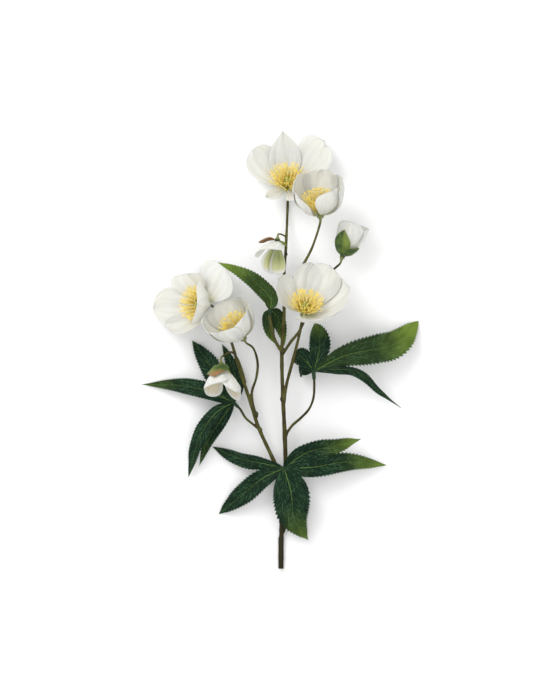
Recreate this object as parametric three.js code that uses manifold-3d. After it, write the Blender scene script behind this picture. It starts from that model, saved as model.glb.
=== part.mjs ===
// A cut spray of white hellebore (Christmas rose), lying face up on a table.
// Five open blooms, three buds and four palmate leaves grow from one branched stem.
//
// Units are millimetres. +Z is up, +Y runs from the cut end towards the top blooms,
// and the origin is on the table, below the middle of the spray.

import * as THREE from 'three';
import { LoftGeometry } from 'three/addons/geometries/LoftGeometry.js';
import { mergeVertices } from 'three/addons/utils/BufferGeometryUtils.js';
import Module from 'manifold-3d';

const wasm = await Module();
wasm.setup();

// ---------- driving dimensions ----------

const SEPAL_THICKNESS = 0.7;
const LEAF_THICKNESS = 0.8;
const CLEARANCE = 0.3; // between pieces that touch
const LAYER_STEP = 1.35; // between one sepal and the next one that it overlaps
const STEM_SIDES = 8;
const PEDICEL_SIDES = 6;
const PEDICEL_RADIUS = 1.6; // a stem no thicker than this has the fewer sides

const RECEPTACLE_RADIUS = 3.2;
const RECEPTACLE_DEPTH = 2.2;
const RECEPTACLE_PIN_RADIUS = 1.6;
const SEPAL_ROOT_RADIUS = 2.2; // where a sepal's claw starts, from the bloom's axis
// The height of the middle layer's root above the receptacle's face.
const SEPAL_ROOT_HEIGHT = CLEARANCE + SEPAL_THICKNESS / 2 + LAYER_STEP;
const BOSS_FOOT = SEPAL_ROOT_HEIGHT + LAYER_STEP + SEPAL_THICKNESS / 2 + CLEARANCE;
const BOSS_TOP = BOSS_FOOT + 2.6;

const FOOT_LENGTH = 26; // the straight stretch at the stem's cut end, which lies on the table

// ---------- colours ----------

const finish = (color, roughness) =>
  new THREE.MeshStandardMaterial({ color, roughness, metalness: 0 });
const STEM = finish(0x6a5a34, 0.6);
const LEAF = finish(0x1f4a2a, 0.55);
const SEPAL = finish(0xf4f3ee, 0.6);
const STAMEN = finish(0xe9bf45, 0.6);
const CARPEL = finish(0x9fae3c, 0.55);
const BUD_SEPAL = finish(0xeff0e2, 0.6);
const BRACT = finish(0x5c7426, 0.55);

// ---------- the spray's layout ----------
// Every point is [x, y, z]. A bloom or bud stands at its base, and its axis leans towards
// `lean` degrees in the plane of the table (90 is +Y) and away from straight up by `tilt`.

const BLOOMS = [
  {
    name: 'bloom_top', base: [6.2, 133.2, 6.68], lean: 90, tilt: 42, spread: 56, reach: 17,
    sepals: [
      { az: 38, length: 48, width: 36, open: 14, close: 56, layer: 1, round: 0.45 },
      { az: 97, length: 46.3, width: 27, open: 14, close: 58, layer: 0, round: 1.2 },
      { az: 144, length: 41, width: 30, open: 14, close: 54, layer: 1, round: 0.5 },
      { az: 222, length: 23, width: 12, open: 6, close: 24, layer: 0, round: 0.9 },
      { az: 308, length: 25, width: 30, open: 10, close: 42, layer: -1, round: 0.5 },
    ],
  },
  {
    name: 'bloom_upper_side', base: [32.4, 109.5, 46], lean: 92, tilt: 57, spread: 40, reach: 18,
    sepals: [
      { az: 12, length: 37, width: 31, open: 16, close: 106, layer: 1, round: 0.5 },
      { az: 84, length: 39, width: 31, open: 14, close: 98, layer: 0, round: 0.5 },
      { az: 148, length: 39, width: 28, open: 15, close: 102, layer: 1, round: 0.5 },
      { az: 208, length: 34, width: 25, open: 12, close: 98, layer: 0, round: 0.6 },
      { az: 308, length: 37, width: 31, open: 18, close: 106, layer: -1, round: 0.5 },
    ],
  },
  {
    name: 'bloom_centre', base: [18.9, 29.1, 38], lean: 77, tilt: 48, spread: 50, reach: 16.5,
    sepals: [
      { az: 18, length: 44, width: 35, open: 12, close: 68, layer: 1, round: 0.5 },
      { az: 65, length: 45, width: 31, open: 12, close: 68, layer: 0, round: 0.45 },
      { az: 98, length: 42, width: 24, open: 12, close: 68, layer: 1, round: 0.6 },
      { az: 164, length: 36, width: 30, open: 12, close: 74, layer: 0, round: 0.5 },
      { az: 299, length: 40, width: 42, open: 6, close: 60, layer: -1, round: 0.45 },
    ],
  },
  {
    name: 'bloom_left', base: [-60.3, 37.3, 15.5], lean: 175, tilt: 48, spread: 52, reach: 17,
    sepals: [
      { az: 26, length: 29.5, width: 36, open: 14, close: 48, layer: 0, round: 0.28 },
      { az: 100, length: 43, width: 31, open: 12, close: 64, layer: 1, round: 0.6 },
      { az: 162, length: 38, width: 34, open: 16, close: 80, layer: 0, round: 0.5 },
      { az: 269, length: 33, width: 36, open: 6, close: 116, layer: -1, round: 0.5 },
      { az: 332, length: 37.5, width: 45, open: 14, close: -13, layer: 1, round: 0.75, loose: true },
    ],
  },
  {
    name: 'bloom_lower_side', base: [-30.3, 9.8, 34], lean: 122, tilt: 54, spread: 38, reach: 18.5,
    sepals: [
      { az: 14, length: 34, width: 31, open: 24, close: 104, layer: 1, round: 0.5 },
      { az: 90, length: 34.5, width: 36, open: 20, close: 92, layer: 0, round: 0.5 },
      { az: 151, length: 37, width: 31, open: 20, close: 90, layer: 1, round: 0.5 },
      { az: 228, length: 36, width: 31, open: 22, close: 88, layer: 0, round: 0.5 },
      { az: 300, length: 34, width: 30, open: 24, close: 96, layer: -1, round: 0.5 },
    ],
  },
];

// A bud's sepals are fused on a small core, and its bracts on a collar round that core.
const BUDS = [
  {
    name: 'bud_upright', base: [50.6, 76.7, 22], lean: 74, tilt: 82,
    sepals: [
      { az: 22, length: 29, width: 25, open: 36, close: 103, layer: 1, round: 0.4 },
      { az: 165, length: 27, width: 23, open: 44, close: 114, layer: 0, round: 0.5 },
      { az: 266, length: 31, width: 23, open: 42, close: 112, layer: 1, round: 0.6 },
    ],
    bracts: [
      { az: 250, length: 26, width: 12.5, open: 44, close: 104, layer: 1.4, round: 1.1 },
      { az: 335, length: 15, width: 13, open: 38, close: 100, layer: 1.4, round: 0.8 },
    ],
  },
  {
    name: 'bud_nodding_upper', base: [-2.5, 90.6, 31], lean: 264, tilt: 66,
    sepals: [
      { az: 70, length: 25, width: 15, open: 54, close: 100, layer: 1, round: 0.5 },
      { az: 118, length: 26, width: 17, open: 54, close: 98, layer: 0, round: 0.5 },
      { az: 306, length: 22, width: 28, open: 24, close: 84, layer: 1, round: 0.5 },
    ],
    bracts: [
      { az: 345, length: 15, width: 9, open: 14, close: 82, layer: 1.6, round: 0.8 },
      { az: 205, length: 9, width: 6, open: 46, close: 82, layer: 1.6, round: 0.8 },
    ],
  },
  {
    name: 'bud_nodding_lower', base: [-48.4, -11.1, 40], lean: 274, tilt: 68,
    sepals: [
      { az: 305, length: 25.5, width: 24, open: 34, close: 92, layer: 1, round: 0.5 },
      { az: 230, length: 33, width: 20, open: 40, close: 82, layer: 0, round: 0.75 },
      { az: 37, length: 25, width: 20, open: 40, close: 92, layer: 1, round: 0.5 },
      { az: 138, length: 31, width: 15, open: 40, close: 82, layer: 0, round: 0.75 },
    ],
    bracts: [
      { az: 290, length: 22, width: 16, open: 40, close: 82, layer: 2, round: 1.2 },
      { az: 95, length: 14, width: 11, open: 40, close: 86, layer: 2, round: 0.8 },
    ],
  },
];

// A leaf's leaflets spread from its hub, each along a mid-rib of hand-set points. `roll` turns
// the blade about its rib, at the root and at the tip, from facing straight up, and `swell` and
// `taper` are larger where the outline is slimmer towards the root and towards the tip.
const LEAVES = [
  {
    name: 'leaf_lower', socket: [3.7, -95.9, 12.2], hub: [2.9, -96.5, 15.5], stubRadius: 1.6,
    leaflets: [
      { rib: [[-12.7, -92.8, 17], [-33.2, -88.8, 12], [-56, -79.4, 0.4]], width: 13, roll: [-30, -20] },
      { rib: [[-14.3, -104.5, 15], [-31, -118.5, 10], [-50.8, -134.8, 0.4]], width: 17, roll: [-10, 10] },
      { rib: [[8.6, -115.8, 15.5], [11.4, -138.2, 13.5], [22.9, -156.2, 6]],
        width: 29, roll: [0, 10], swell: 0.5, taper: 1.15 },
      { rib: [[25.8, -95.9, 17], [55.3, -91.4, 13], [87.4, -94.5, 2.5]],
        width: 17, roll: [-12, 10], swell: 0.5, taper: 0.95 },
      { rib: [[20.9, -84, 19], [43.9, -78, 20], [65.9, -72.8, 14]],
        width: 18, roll: [20, 30], swell: 0.5, taper: 0.95 },
    ],
  },
  {
    name: 'leaf_right', socket: [27.5, -23.4, 24], hub: [27.1, -16.8, 26.5], stubRadius: 1.7,
    leaflets: [
      { rib: [[51.8, -4.6, 30], [77.7, 1.2, 24], [95, 5.8, 14], [113.8, 24.2, 0.37]],
        width: 23.5, roll: [6, 0], swell: 0.95, taper: 0.85 },
      { rib: [[47.1, -15.2, 30], [63.5, -17.6, 26], [82.4, -34.5, 15], [99, -47.3, 6]],
        width: 10, roll: [60, 20], swell: 0.75, taper: 1.5 },
      { rib: [[31, -3.7, 24], [32.2, 8.6, 18], [28.4, 23.4, 9]], width: 17, roll: [0, 0] },
      { rib: [[20.9, -8.6, 22], [16, -4.4, 15], [11.5, -1.5, 7]], width: 15, roll: [0, 10] },
      { rib: [[23.4, -17, 22], [18.8, -16.3, 13], [15.6, -18.6, 5]], width: 12, roll: [30, 20] },
    ],
  },
  {
    name: 'leaf_left', socket: [-34.9, -46.3, 18], hub: [-38.5, -42.6, 20], stubRadius: 1.5,
    leaflets: [
      { rib: [[-52.9, -51.2, 22], [-66, -70.9, 16], [-75.8, -104.2, 3]], width: 12.5, roll: [20, 30] },
      { rib: [[-47.6, -55.3, 17], [-59, -73.4, 11], [-66.8, -95, 4]],
        width: 11, roll: [-10, 0], swell: 0.6, taper: 1.1 },
      { rib: [[-57.8, -34, 19], [-82.4, -28.8, 10], [-114.4, -27.9, 0.4]],
        width: 14, roll: [10, 0], swell: 0.6, taper: 1.2 },
      { rib: [[-48.8, -29.1, 16], [-59, -11.1, 9], [-72.8, 8.2, 3]], width: 17, roll: [0, 0] },
      { rib: [[-35.4, -29.1, 12], [-40.4, -12.7, 8], [-48, 5.3, 4]], width: 11, roll: [20, 20] },
    ],
  },
  {
    name: 'leaf_upper', socket: [-8.5, 29, 28.4], hub: [-8.4, 33.5, 28.8], stubRadius: 1.3,
    leaflets: [
      { rib: [[-8, 42, 29.5], [-16.8, 52.4, 32.5], [-29.6, 61.8, 37.5], [-50.8, 71.7, 42]],
        width: 13.5, roll: [0, 20], swell: 0.35, taper: 0.9 },
      { rib: [[-9.9, 28.2, 23.4], [-8.6, 15, 17], [-3.5, 4.8, 15]],
        width: 10, roll: [0, 0], swell: 0.4, taper: 0.95 },
      { rib: [[-3.2, 28.5, 20], [0.6, 18, 16.5], [3.3, 4, 15.5]],
        width: 11, roll: [0, 0], swell: 0.4, taper: 0.95 },
    ],
  },
];

// Each stem runs through its points and ends in the neck of what it carries.
const STEMS = [
  { carries: 'bloom_top', radius: [2.2, 1.05],
    points: [[0.4, -171.8, 2.35], [0.6, -159.5, 2.4], [1.1, -143.9, 3.6], [2.9, -118.5, 6.5],
      [4.1, -91.4, 9.3], [3.3, -65.2, 13], [2, -38.1, 17], [1.2, -16, 20], [1.2, 2, 22],
      [2.9, 29.1, 23], [2.9, 57.8, 21.5], [4.4, 84, 15], [5.4, 105.4, 7]] },
  { carries: 'bloom_left', radius: [1.8, 1.05],
    points: [[3.1, -114.4, 6.8], [-2, -98.8, 8.5], [-7.8, -85.7, 10], [-17.9, -63.5, 13],
      [-26.4, -37.3, 17], [-34, -14.3, 20], [-40.3, 7, 19], [-45.5, 20.1, 16.5]] },
  { carries: 'bloom_lower_side', radius: [1.3, 0.95],
    points: [[-19.3, -55.3, 14.5], [-23, -43, 16.5], [-23.4, -34, 18.5], [-19.7, -21.7, 21],
      [-18.8, -9.4, 23], [-22.4, 2, 25]] },
  { carries: 'bud_nodding_lower', radius: [1, 0.85],
    points: [[-28.7, -26.6, 18.5], [-31.6, -16, 21], [-35.3, -6.6, 28], [-40.2, -1.2, 34]] },
  { carries: 'bloom_centre', radius: [1.5, 1.2],
    points: [[2.6, -43.9, 16.5], [4.7, -29, 20.5], [9.8, -9.4, 27], [14, 7, 31]] },
  { carries: 'bud_upright', radius: [1.3, 0.95],
    points: [[1.8, -3, 21.5], [8.4, 7, 23.5], [15.4, 15.8, 25.5], [23.4, 33.2, 26],
      [33.6, 51.2, 25], [42, 64.8, 23]] },
  { carries: 'bloom_upper_side', radius: [1.25, 1],
    points: [[2.9, 38.9, 22.5], [5.3, 48.8, 24], [11.1, 59.4, 25.5], [18.9, 70.9, 30],
      [25.8, 84, 36]] },
  { carries: 'bud_nodding_upper', radius: [0.9, 0.8],
    points: [[4.2, 77.5, 18.5], [5, 87, 22], [3.6, 93.6, 27]] },
  { carries: 'leaf_lower', radius: [2, 1.7], points: [[4.2, -99.6, 8.2]] },
  { carries: 'leaf_upper', radius: [1.5, 1.1],
    points: [[1.6, -1.2, 21.6], [-2.5, 4.5, 24], [-5.9, 12, 26], [-7.8, 21.7, 28]] },
  { carries: 'leaf_right', radius: [1.2, 1],
    points: [[3.9, -70.1, 12.5], [9.4, -61.9, 14], [16.8, -55.3, 16], [23.4, -48, 18],
      [27, -38.9, 20.5]] },
  { carries: 'leaf_left', radius: [1.1, 1],
    points: [[-16, -66, 12.5], [-22.5, -60.7, 13.5], [-28.7, -55.3, 15]] },
];

// Swellings where a branch leaves its stem: [x, y, z] of the centre and a radius.
const KNUCKLES = [
  { at: [1.4, -148, 3.4], radius: 2.75 },
  { at: [2, -39.8, 16.8], radius: 2.5 },
  { at: [1.4, -0.4, 21.8], radius: 2.3 },
  { at: [3.9, -68.9, 12.6], radius: 2.4 },
  { at: [-20.1, -52.1, 14.9], radius: 2.1 },
  { at: [-16.8, -65.2, 12.8], radius: 2.05 },
  { at: [4.5, 79.1, 18], radius: 1.5 },
];

// ---------- solids ----------

const vector = ([x, y, z]) => new THREE.Vector3(x, y, z);
const mix = THREE.MathUtils.lerp;
const radians = THREE.MathUtils.degToRad;

// A manifold-3d solid of a closed geometry, without the flat triangles at a lathe's poles.
function solidOf(geometry) {
  const bare = new THREE.BufferGeometry()
    .setAttribute('position', geometry.attributes.position)
    .setIndex(geometry.index);
  const merged = mergeVertices(bare, 1e-4);
  const corners = merged.index.array;
  const triangles = [];
  for (let k = 0; k < corners.length; k += 3) {
    const [a, b, c] = corners.subarray(k, k + 3);
    if (a !== b && b !== c && c !== a) triangles.push(a, b, c);
  }
  return new wasm.Manifold(new wasm.Mesh({
    numProp: 3,
    vertProperties: new Float32Array(merged.attributes.position.array),
    triVerts: new Uint32Array(triangles),
  }));
}

// One geometry of several closed ones, joined where they cross.
function fused(geometries) {
  const solid = geometries.map(solidOf).reduce((all, next) => all.add(next));
  const { vertProperties, triVerts } = solid.getMesh();
  return new THREE.BufferGeometry()
    .setAttribute('position', new THREE.BufferAttribute(vertProperties, 3))
    .setIndex(new THREE.BufferAttribute(triVerts, 1));
}

// A ring of points round a centre, in the plane of `side` and `up`.
function ring(centre, side, up, radius, sides) {
  return Array.from({ length: sides }, (_, k) => {
    const angle = (2 * Math.PI * k) / sides;
    return centre.clone()
      .addScaledVector(side, radius * Math.cos(angle))
      .addScaledVector(up, radius * Math.sin(angle));
  });
}

// A solid turned about +Z, from a profile of [radius, height] that runs up from the axis.
function turned(profile, sides) {
  const points = profile.map(([r, h]) => new THREE.Vector2(r, h));
  return new THREE.LatheGeometry(points, sides).rotateX(Math.PI / 2);
}

// A round rod along a curve, whose radius is radiusAt(share of its length).
function rod(curve, radiusAt, steps, sides) {
  const { normals, binormals } = curve.computeFrenetFrames(steps);
  const sections = Array.from({ length: steps + 1 }, (_, k) =>
    ring(curve.getPointAt(k / steps), normals[k], binormals[k], radiusAt(k / steps), sides));
  return new LoftGeometry(sections, { capStart: true, capEnd: true });
}

// A thin sheet of even thickness about a grid of points, with a point for its tip. The two
// faces are split into triangles alike, so they can't cross where the sheet waves.
function sheet(rows, tip, thickness) {
  const across = rows[0].length;
  const at = (i, j) => rows[i]?.[j] ?? tip;
  const front = [];
  const back = [];
  rows.forEach((row, i) => row.forEach((point, j) => {
    const along = at(i + 1, j).clone().sub(at(Math.max(i - 1, 0), j));
    const sideways = at(i, Math.min(j + 1, across - 1)).clone().sub(at(i, Math.max(j - 1, 0)));
    const normal = along.cross(sideways).setLength(thickness / 2);
    front.push(point.clone().add(normal));
    back.push(point.clone().sub(normal));
  }));
  const last = rows.at(-1);
  const middle = (across - 1) / 2;
  const end = tip.clone().sub(last[middle]).cross(last.at(-1).clone().sub(last[0]));
  end.setLength(thickness / 2);
  front.push(tip.clone().add(end));
  back.push(tip.clone().sub(end));

  const total = front.length;
  const index = [];
  const vertex = (i, j) => (i < rows.length ? i * across + j : total - 1);
  const face = (a, b, c) => {
    if (a !== b && b !== c && a !== c) index.push(a, b, c);
  };
  for (let i = 0; i < rows.length; i++) {
    for (let j = 0; j < across - 1; j++) {
      const [a, b, c, d] = [vertex(i, j), vertex(i + 1, j), vertex(i + 1, j + 1), vertex(i, j + 1)];
      // The diagonals mirror each other about the mid-rib.
      const [first, second] = j < middle ? [[a, b, c], [a, c, d]] : [[a, b, d], [b, c, d]];
      for (const [p, q, r] of [first, second]) {
        face(p, q, r);
        face(p + total, r + total, q + total);
      }
    }
    const [left, nextLeft] = [vertex(i, 0), vertex(i + 1, 0)];
    const [right, nextRight] = [vertex(i, across - 1), vertex(i + 1, across - 1)];
    face(left, left + total, nextLeft + total);
    face(left, nextLeft + total, nextLeft);
    face(right, nextRight + total, right + total);
    face(right, nextRight, nextRight + total);
  }
  for (let j = 0; j < across - 1; j++) {
    face(vertex(0, j), vertex(0, j + 1), vertex(0, j + 1) + total);
    face(vertex(0, j), vertex(0, j + 1) + total, vertex(0, j) + total);
  }
  const positions = [...front, ...back].flatMap((p) => p.toArray());
  return new THREE.BufferGeometry()
    .setAttribute('position', new THREE.Float32BufferAttribute(positions, 3))
    .setIndex(index);
}

// ---------- sepals ----------
// A bloom's sepals lie on one bowl, in the bloom's own frame, where its axis is +Z. `az` is a
// sepal's place round the axis, `open` and `close` are the slopes of the bowl there, at its
// root and at BOWL_REACH from it, `layer` says how far out the sepal lies among the
// neighbours that it overlaps, and `round` is small for a round tip and near 1 for a point. A
// loose sepal has bent away from the bowl, and keeps its own slopes.

const BOWL_REACH = 36;
const CLAW_SHARE = 0.06; // the root's width as a share of the sepal's
const BULGE = 1.15; // how soon a sepal widens from its claw
const LAST_ROW = 0.96; // the share of a sepal's length that its rows cover, short of its tip
const FUSED_STRETCH = 6; // over which the layers of fused sepals part
const BLEND = 4; // how sharply the bowl's slopes turn from one sepal's to the next one's

// The slopes of the bowl at an azimuth, blended from those of the sepals round it.
function slopesAt(azimuth, sepals) {
  let [open, close, total] = [0, 0, 0];
  for (const each of sepals) {
    const weight = Math.exp(BLEND * (Math.cos(azimuth - radians(each.az)) - 1));
    open += weight * radians(each.open);
    close += weight * radians(each.close);
    total += weight;
  }
  return [open / total, close / total];
}

// The point of the bowl at a distance from its root ring, measured along its curved wall, and
// raised off that wall.
function bowlPoint(azimuth, distance, lift, sepals, root) {
  const [open, close] = slopesAt(azimuth, sepals);
  const bend = (close - open) / BOWL_REACH;
  const slope = open + bend * distance;
  const r = root.radius + (Math.sin(slope) - Math.sin(open)) / bend - lift * Math.sin(slope);
  const h = root.height + (Math.cos(open) - Math.cos(slope)) / bend + lift * Math.cos(slope);
  return new THREE.Vector3(r * Math.cos(azimuth), r * Math.sin(azimuth), h);
}

// The outline's half width at a share u of the length, 1 at its widest.
function sepalOutline(u, round) {
  const shape = (x) => x ** BULGE * (1 - x) ** round;
  return shape(u) / shape(BULGE / (BULGE + round)) + CLAW_SHARE * (1 - u) ** 2;
}

// The flat outline is wrapped onto the bowl: a point of it keeps its distance from the root
// ring, and its distance from the mid-rib as well.
function sepal(spec, whorl, root, [rowCount, columnCount]) {
  const sepals = spec.loose ? [spec] : whorl.filter(({ loose }) => !loose);
  const pointAt = (u, v) => {
    const along = root.radius + u * spec.length;
    const across = v * (spec.width / 2) * sepalOutline(u, spec.round);
    const distance = Math.hypot(along, across) - root.radius;
    const onRib = bowlPoint(radians(spec.az), distance, 0, sepals, root);
    const turn = (Math.atan2(across, along) * Math.hypot(along, across)) / Math.hypot(onRib.x, onRib.y);
    const spread = root.fused ? Math.min(distance / FUSED_STRETCH, 1) : 1;
    const lift = -LAYER_STEP * spec.layer * spread;
    return bowlPoint(radians(spec.az) + turn, distance, lift, sepals, root);
  };
  const rows = Array.from({ length: rowCount }, (_, i) => {
    const u = (LAST_ROW * i) / (rowCount - 1);
    return Array.from({ length: columnCount }, (_, j) => pointAt(u, (2 * j) / (columnCount - 1) - 1));
  });
  return sheet(rows, pointAt(1, 0), SEPAL_THICKNESS);
}

// ---------- stamens and carpels ----------

const STAMENS = 13;
const FILAMENT_RADIUS = 0.42;
const ANTHER_RADIUS = 0.75;
const ANTHER_LENGTH = 2.2;
const GOLDEN_ANGLE = 137.508;
const INNER_LEAN = 16; // of the innermost stamens, in degrees from the bloom's axis
const STAMEN_ROOTS = [3.0, 3.8]; // how far the innermost and outermost root from that axis
const BOSS_NECK = 1.9;
const BOSS_RADIUS = 4.6;

// A boss that stands on the receptacle's pin between the claws, ringed with stamens.
function stamens(bloom) {
  const boss = turned([
    [0, BOSS_FOOT], [BOSS_NECK, BOSS_FOOT], [BOSS_RADIUS, BOSS_TOP - 0.5],
    [BOSS_RADIUS - 1, BOSS_TOP], [0, BOSS_TOP],
  ], 8);
  const filaments = Array.from({ length: STAMENS }, (_, k) => {
    const share = (k + 0.5) / STAMENS;
    const around = radians(k * GOLDEN_ANGLE);
    const lean = radians(mix(INNER_LEAN, bloom.spread, Math.sqrt(share)));
    const length = bloom.reach * (0.86 + 0.14 * Math.sin(k * 2.4));
    const outward = new THREE.Vector3(Math.cos(around), Math.sin(around), 0);
    const sideways = new THREE.Vector3(-Math.sin(around), Math.cos(around), 0);
    const station = (t) => outward.clone()
      .multiplyScalar(mix(...STAMEN_ROOTS, share) + Math.sin(lean) * length * t)
      .setZ(BOSS_TOP - 0.7 + Math.cos(lean) * length * t);
    const up = outward.clone().multiplyScalar(-Math.cos(lean)).setZ(Math.sin(lean));
    const neck = 1 - ANTHER_LENGTH / length;
    return new LoftGeometry([
      ring(station(0), sideways, up, FILAMENT_RADIUS, 3),
      ring(station(neck), sideways, up, FILAMENT_RADIUS * 0.7, 3),
      ring(station((1 + neck) / 2), sideways, up, ANTHER_RADIUS, 3),
      ring(station(1), sideways, up, FILAMENT_RADIUS * 0.7, 3),
    ], { capStart: true, capEnd: true });
  });
  return fused([boss, ...filaments]);
}

const CARPELS = 4;
const CARPEL_LENGTH = 8.5;
const CARPEL_RADIUS = 1.15;
const CARPEL_LEAN = 9;

// Slender pods that lean apart from a small round foot, on top of the boss.
function carpels() {
  const foot = new THREE.CylinderGeometry(2, 2.2, 1, 6).rotateX(Math.PI / 2);
  foot.translate(0, 0, BOSS_TOP + CLEARANCE + 0.5);
  const pod = turned([
    [0, 0], [CARPEL_RADIUS, 2.4], [0.5, 5.4], [0.35, CARPEL_LENGTH], [0, CARPEL_LENGTH],
  ], 5);
  const pods = Array.from({ length: CARPELS }, (_, k) => pod.clone()
    .rotateY(radians(CARPEL_LEAN))
    .translate(0.95, 0, BOSS_TOP + CLEARANCE + 0.4)
    .rotateZ(radians(45 + (360 * k) / CARPELS)));
  return fused([foot, ...pods]);
}

// ---------- blooms and buds ----------

// The frame of a bloom: its axis is the group's +Z, and az 90 points away from the viewer.
function standAt({ name, base, lean, tilt }) {
  const group = new THREE.Group();
  group.name = name + '_frame';
  group.position.set(...base);
  group.rotation.set(-radians(tilt), 0, radians(lean - 90), 'ZXY');
  group.updateMatrixWorld();
  return group;
}

function named(name, geometry, material) {
  const mesh = new THREE.Mesh(geometry, material);
  mesh.name = name;
  return mesh;
}

const BLOOM_GRID = [6, 7];
const BUD_GRID = [5, 5];

function bloom(spec) {
  const group = standAt(spec);
  const root = { radius: SEPAL_ROOT_RADIUS, height: SEPAL_ROOT_HEIGHT };
  spec.sepals.forEach((each, k) => {
    group.add(named(`${spec.name}_sepal_${k + 1}`, sepal(each, spec.sepals, root, BLOOM_GRID), SEPAL));
  });
  group.add(named(`${spec.name}_stamens`, stamens(spec), STAMEN));
  group.add(named(`${spec.name}_carpels`, carpels(), CARPEL));
  return group;
}

const COLLAR_RADIUS = 2.3; // of the disc that a bud's bracts grow on
const COLLAR_DEPTH = 0.8;
const BUD_FOOT = COLLAR_DEPTH + 2 * CLEARANCE;
const CORE_RADIUS = 2.4; // of the closed heart that a bud's sepals wrap
const CORE_LENGTH = 8;

function bud(spec) {
  const group = standAt(spec);
  const collarMiddle = CLEARANCE + COLLAR_DEPTH / 2;
  const collar = new THREE.CylinderGeometry(COLLAR_RADIUS, COLLAR_RADIUS, COLLAR_DEPTH, 8)
    .rotateX(Math.PI / 2).translate(0, 0, collarMiddle);
  const core = new THREE.SphereGeometry(CORE_RADIUS, 8, 6).rotateX(Math.PI / 2)
    .scale(1, 1, CORE_LENGTH / (2 * CORE_RADIUS)).translate(0, 0, BUD_FOOT + CORE_LENGTH / 2);
  const wrap = (specs, root) => specs.map((each) => sepal(each, specs, root, BUD_GRID));
  const sepals = [core, ...wrap(spec.sepals, { radius: 0.6, height: BUD_FOOT + 1.6, fused: true })];
  const bracts = [collar, ...wrap(spec.bracts, { radius: 1, height: collarMiddle, fused: true })];
  group.add(named(`${spec.name}_sepals`, fused(sepals), BUD_SEPAL));
  group.add(named(`${spec.name}_bracts`, fused(bracts), BRACT));
  return group;
}

// ---------- leaves ----------

const TOOTH_PITCH = 10.4;
const TOOTH = 0.1; // how far a tooth stands out, as a share of the half width
const FOLD = 0.28; // how steeply the halves rise from the mid-rib
const LEAFLET_SWELL = 0.7; // how soon a leaflet widens from its root, unless its own is given
const LEAFLET_TAPER = 0.95; // and how sharply it ends
const LEAFLET_ROOT = 0.07; // its root's width as a share of its widest

// The half width of a leaflet at a share u of its length, 1 at its widest.
function leafletOutline(u, { swell = LEAFLET_SWELL, taper = LEAFLET_TAPER }) {
  const shape = (x) => x ** swell * (1 - x) ** taper;
  return shape(u) / shape(swell / (swell + taper)) + LEAFLET_ROOT * (1 - u);
}

function leaflet(spec, hub) {
  const curve = new THREE.CatmullRomCurve3([hub, ...spec.rib].map(vector));
  const rowAt = (u, stretch) => {
    const centre = curve.getPointAt(u);
    const along = curve.getTangentAt(u);
    const roll = radians(mix(...spec.roll, u));
    const sideways = new THREE.Vector3(0, 0, 1).cross(along).normalize().applyAxisAngle(along, roll);
    const up = along.clone().cross(sideways);
    const half = (spec.width / 2) * leafletOutline(u, spec) * stretch;
    return [-1, 0, 1].map((v) => centre.clone()
      .addScaledVector(sideways, v * half)
      .addScaledVector(up, FOLD * half * Math.abs(v)));
  };
  const teeth = Math.round(curve.getLength() / TOOTH_PITCH);
  const rows = [rowAt(0, 1)];
  for (let k = 0; k < teeth; k++) {
    rows.push(rowAt((k + 0.6) / teeth, 1 + TOOTH));
    if (k < teeth - 1) rows.push(rowAt((k + 0.95) / teeth, 1 - TOOTH));
  }
  return sheet(rows, curve.getPointAt(1), LEAF_THICKNESS);
}

function leaf(spec) {
  const [socket, hub] = [vector(spec.socket), vector(spec.hub)];
  const outward = hub.clone().sub(socket).normalize();
  const stubPath = new THREE.LineCurve3(socket.addScaledVector(outward, CLEARANCE),
    hub.addScaledVector(outward, spec.stubRadius * 0.6));
  const stub = rod(stubPath, (t) => spec.stubRadius * mix(0.85, 1.1, t), 1, PEDICEL_SIDES);
  return named(spec.name, fused([stub, ...spec.leaflets.map((each) => leaflet(each, spec.hub))]), LEAF);
}

// ---------- the stem ----------

const STEM_STEP = 16; // between the rings of a stem
const FOOT_START = 8; // from the stem's cut end to the first of its points
const NECK = 3; // the straight stretch of stem below what it carries

// The cup at a stem's end that a bloom or bud sits on, with the pin that holds a bloom's boss.
function receptacle(stand, neckRadius) {
  const { face, pin } = stand.userData;
  const foot = -RECEPTACLE_DEPTH - 1;
  const pinTop = BOSS_FOOT - CLEARANCE;
  const cup = [[0, foot], [neckRadius * 0.9, foot], [face * 0.75, -0.9], [face, 0]];
  const top = pin ? [[RECEPTACLE_PIN_RADIUS, 0], [RECEPTACLE_PIN_RADIUS, pinTop], [0, pinTop]] : [[0, 0]];
  return turned([...cup, ...top], PEDICEL_SIDES).applyMatrix4(stand.matrixWorld);
}

function stemPieces({ carries, radius, points }, stands) {
  const [thick, thin] = radius;
  const stand = stands.get(carries);
  const ends = [];
  if (stand) {
    ends.push([0, 0, -RECEPTACLE_DEPTH - NECK], [0, 0, -RECEPTACLE_DEPTH]);
    ends.forEach((each, k) => { ends[k] = stand.localToWorld(vector(each)); });
  } else {
    const { socket, hub } = LEAVES.find(({ name }) => name === carries);
    const inward = vector(socket).sub(vector(hub)).setLength(points.length > 1 ? NECK : 1);
    ends.push(vector(socket).add(inward), vector(socket));
  }
  const curve = new THREE.CatmullRomCurve3([...points.map(vector), ...ends]);
  const steps = Math.max(3, Math.round(curve.getLength() / STEM_STEP));
  const sides = thick > PEDICEL_RADIUS ? STEM_SIDES : PEDICEL_SIDES;
  const pieces = [rod(curve, (t) => mix(thick, thin, t), steps, sides)];
  if (stand) pieces.push(receptacle(stand, thin));
  return pieces;
}

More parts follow.
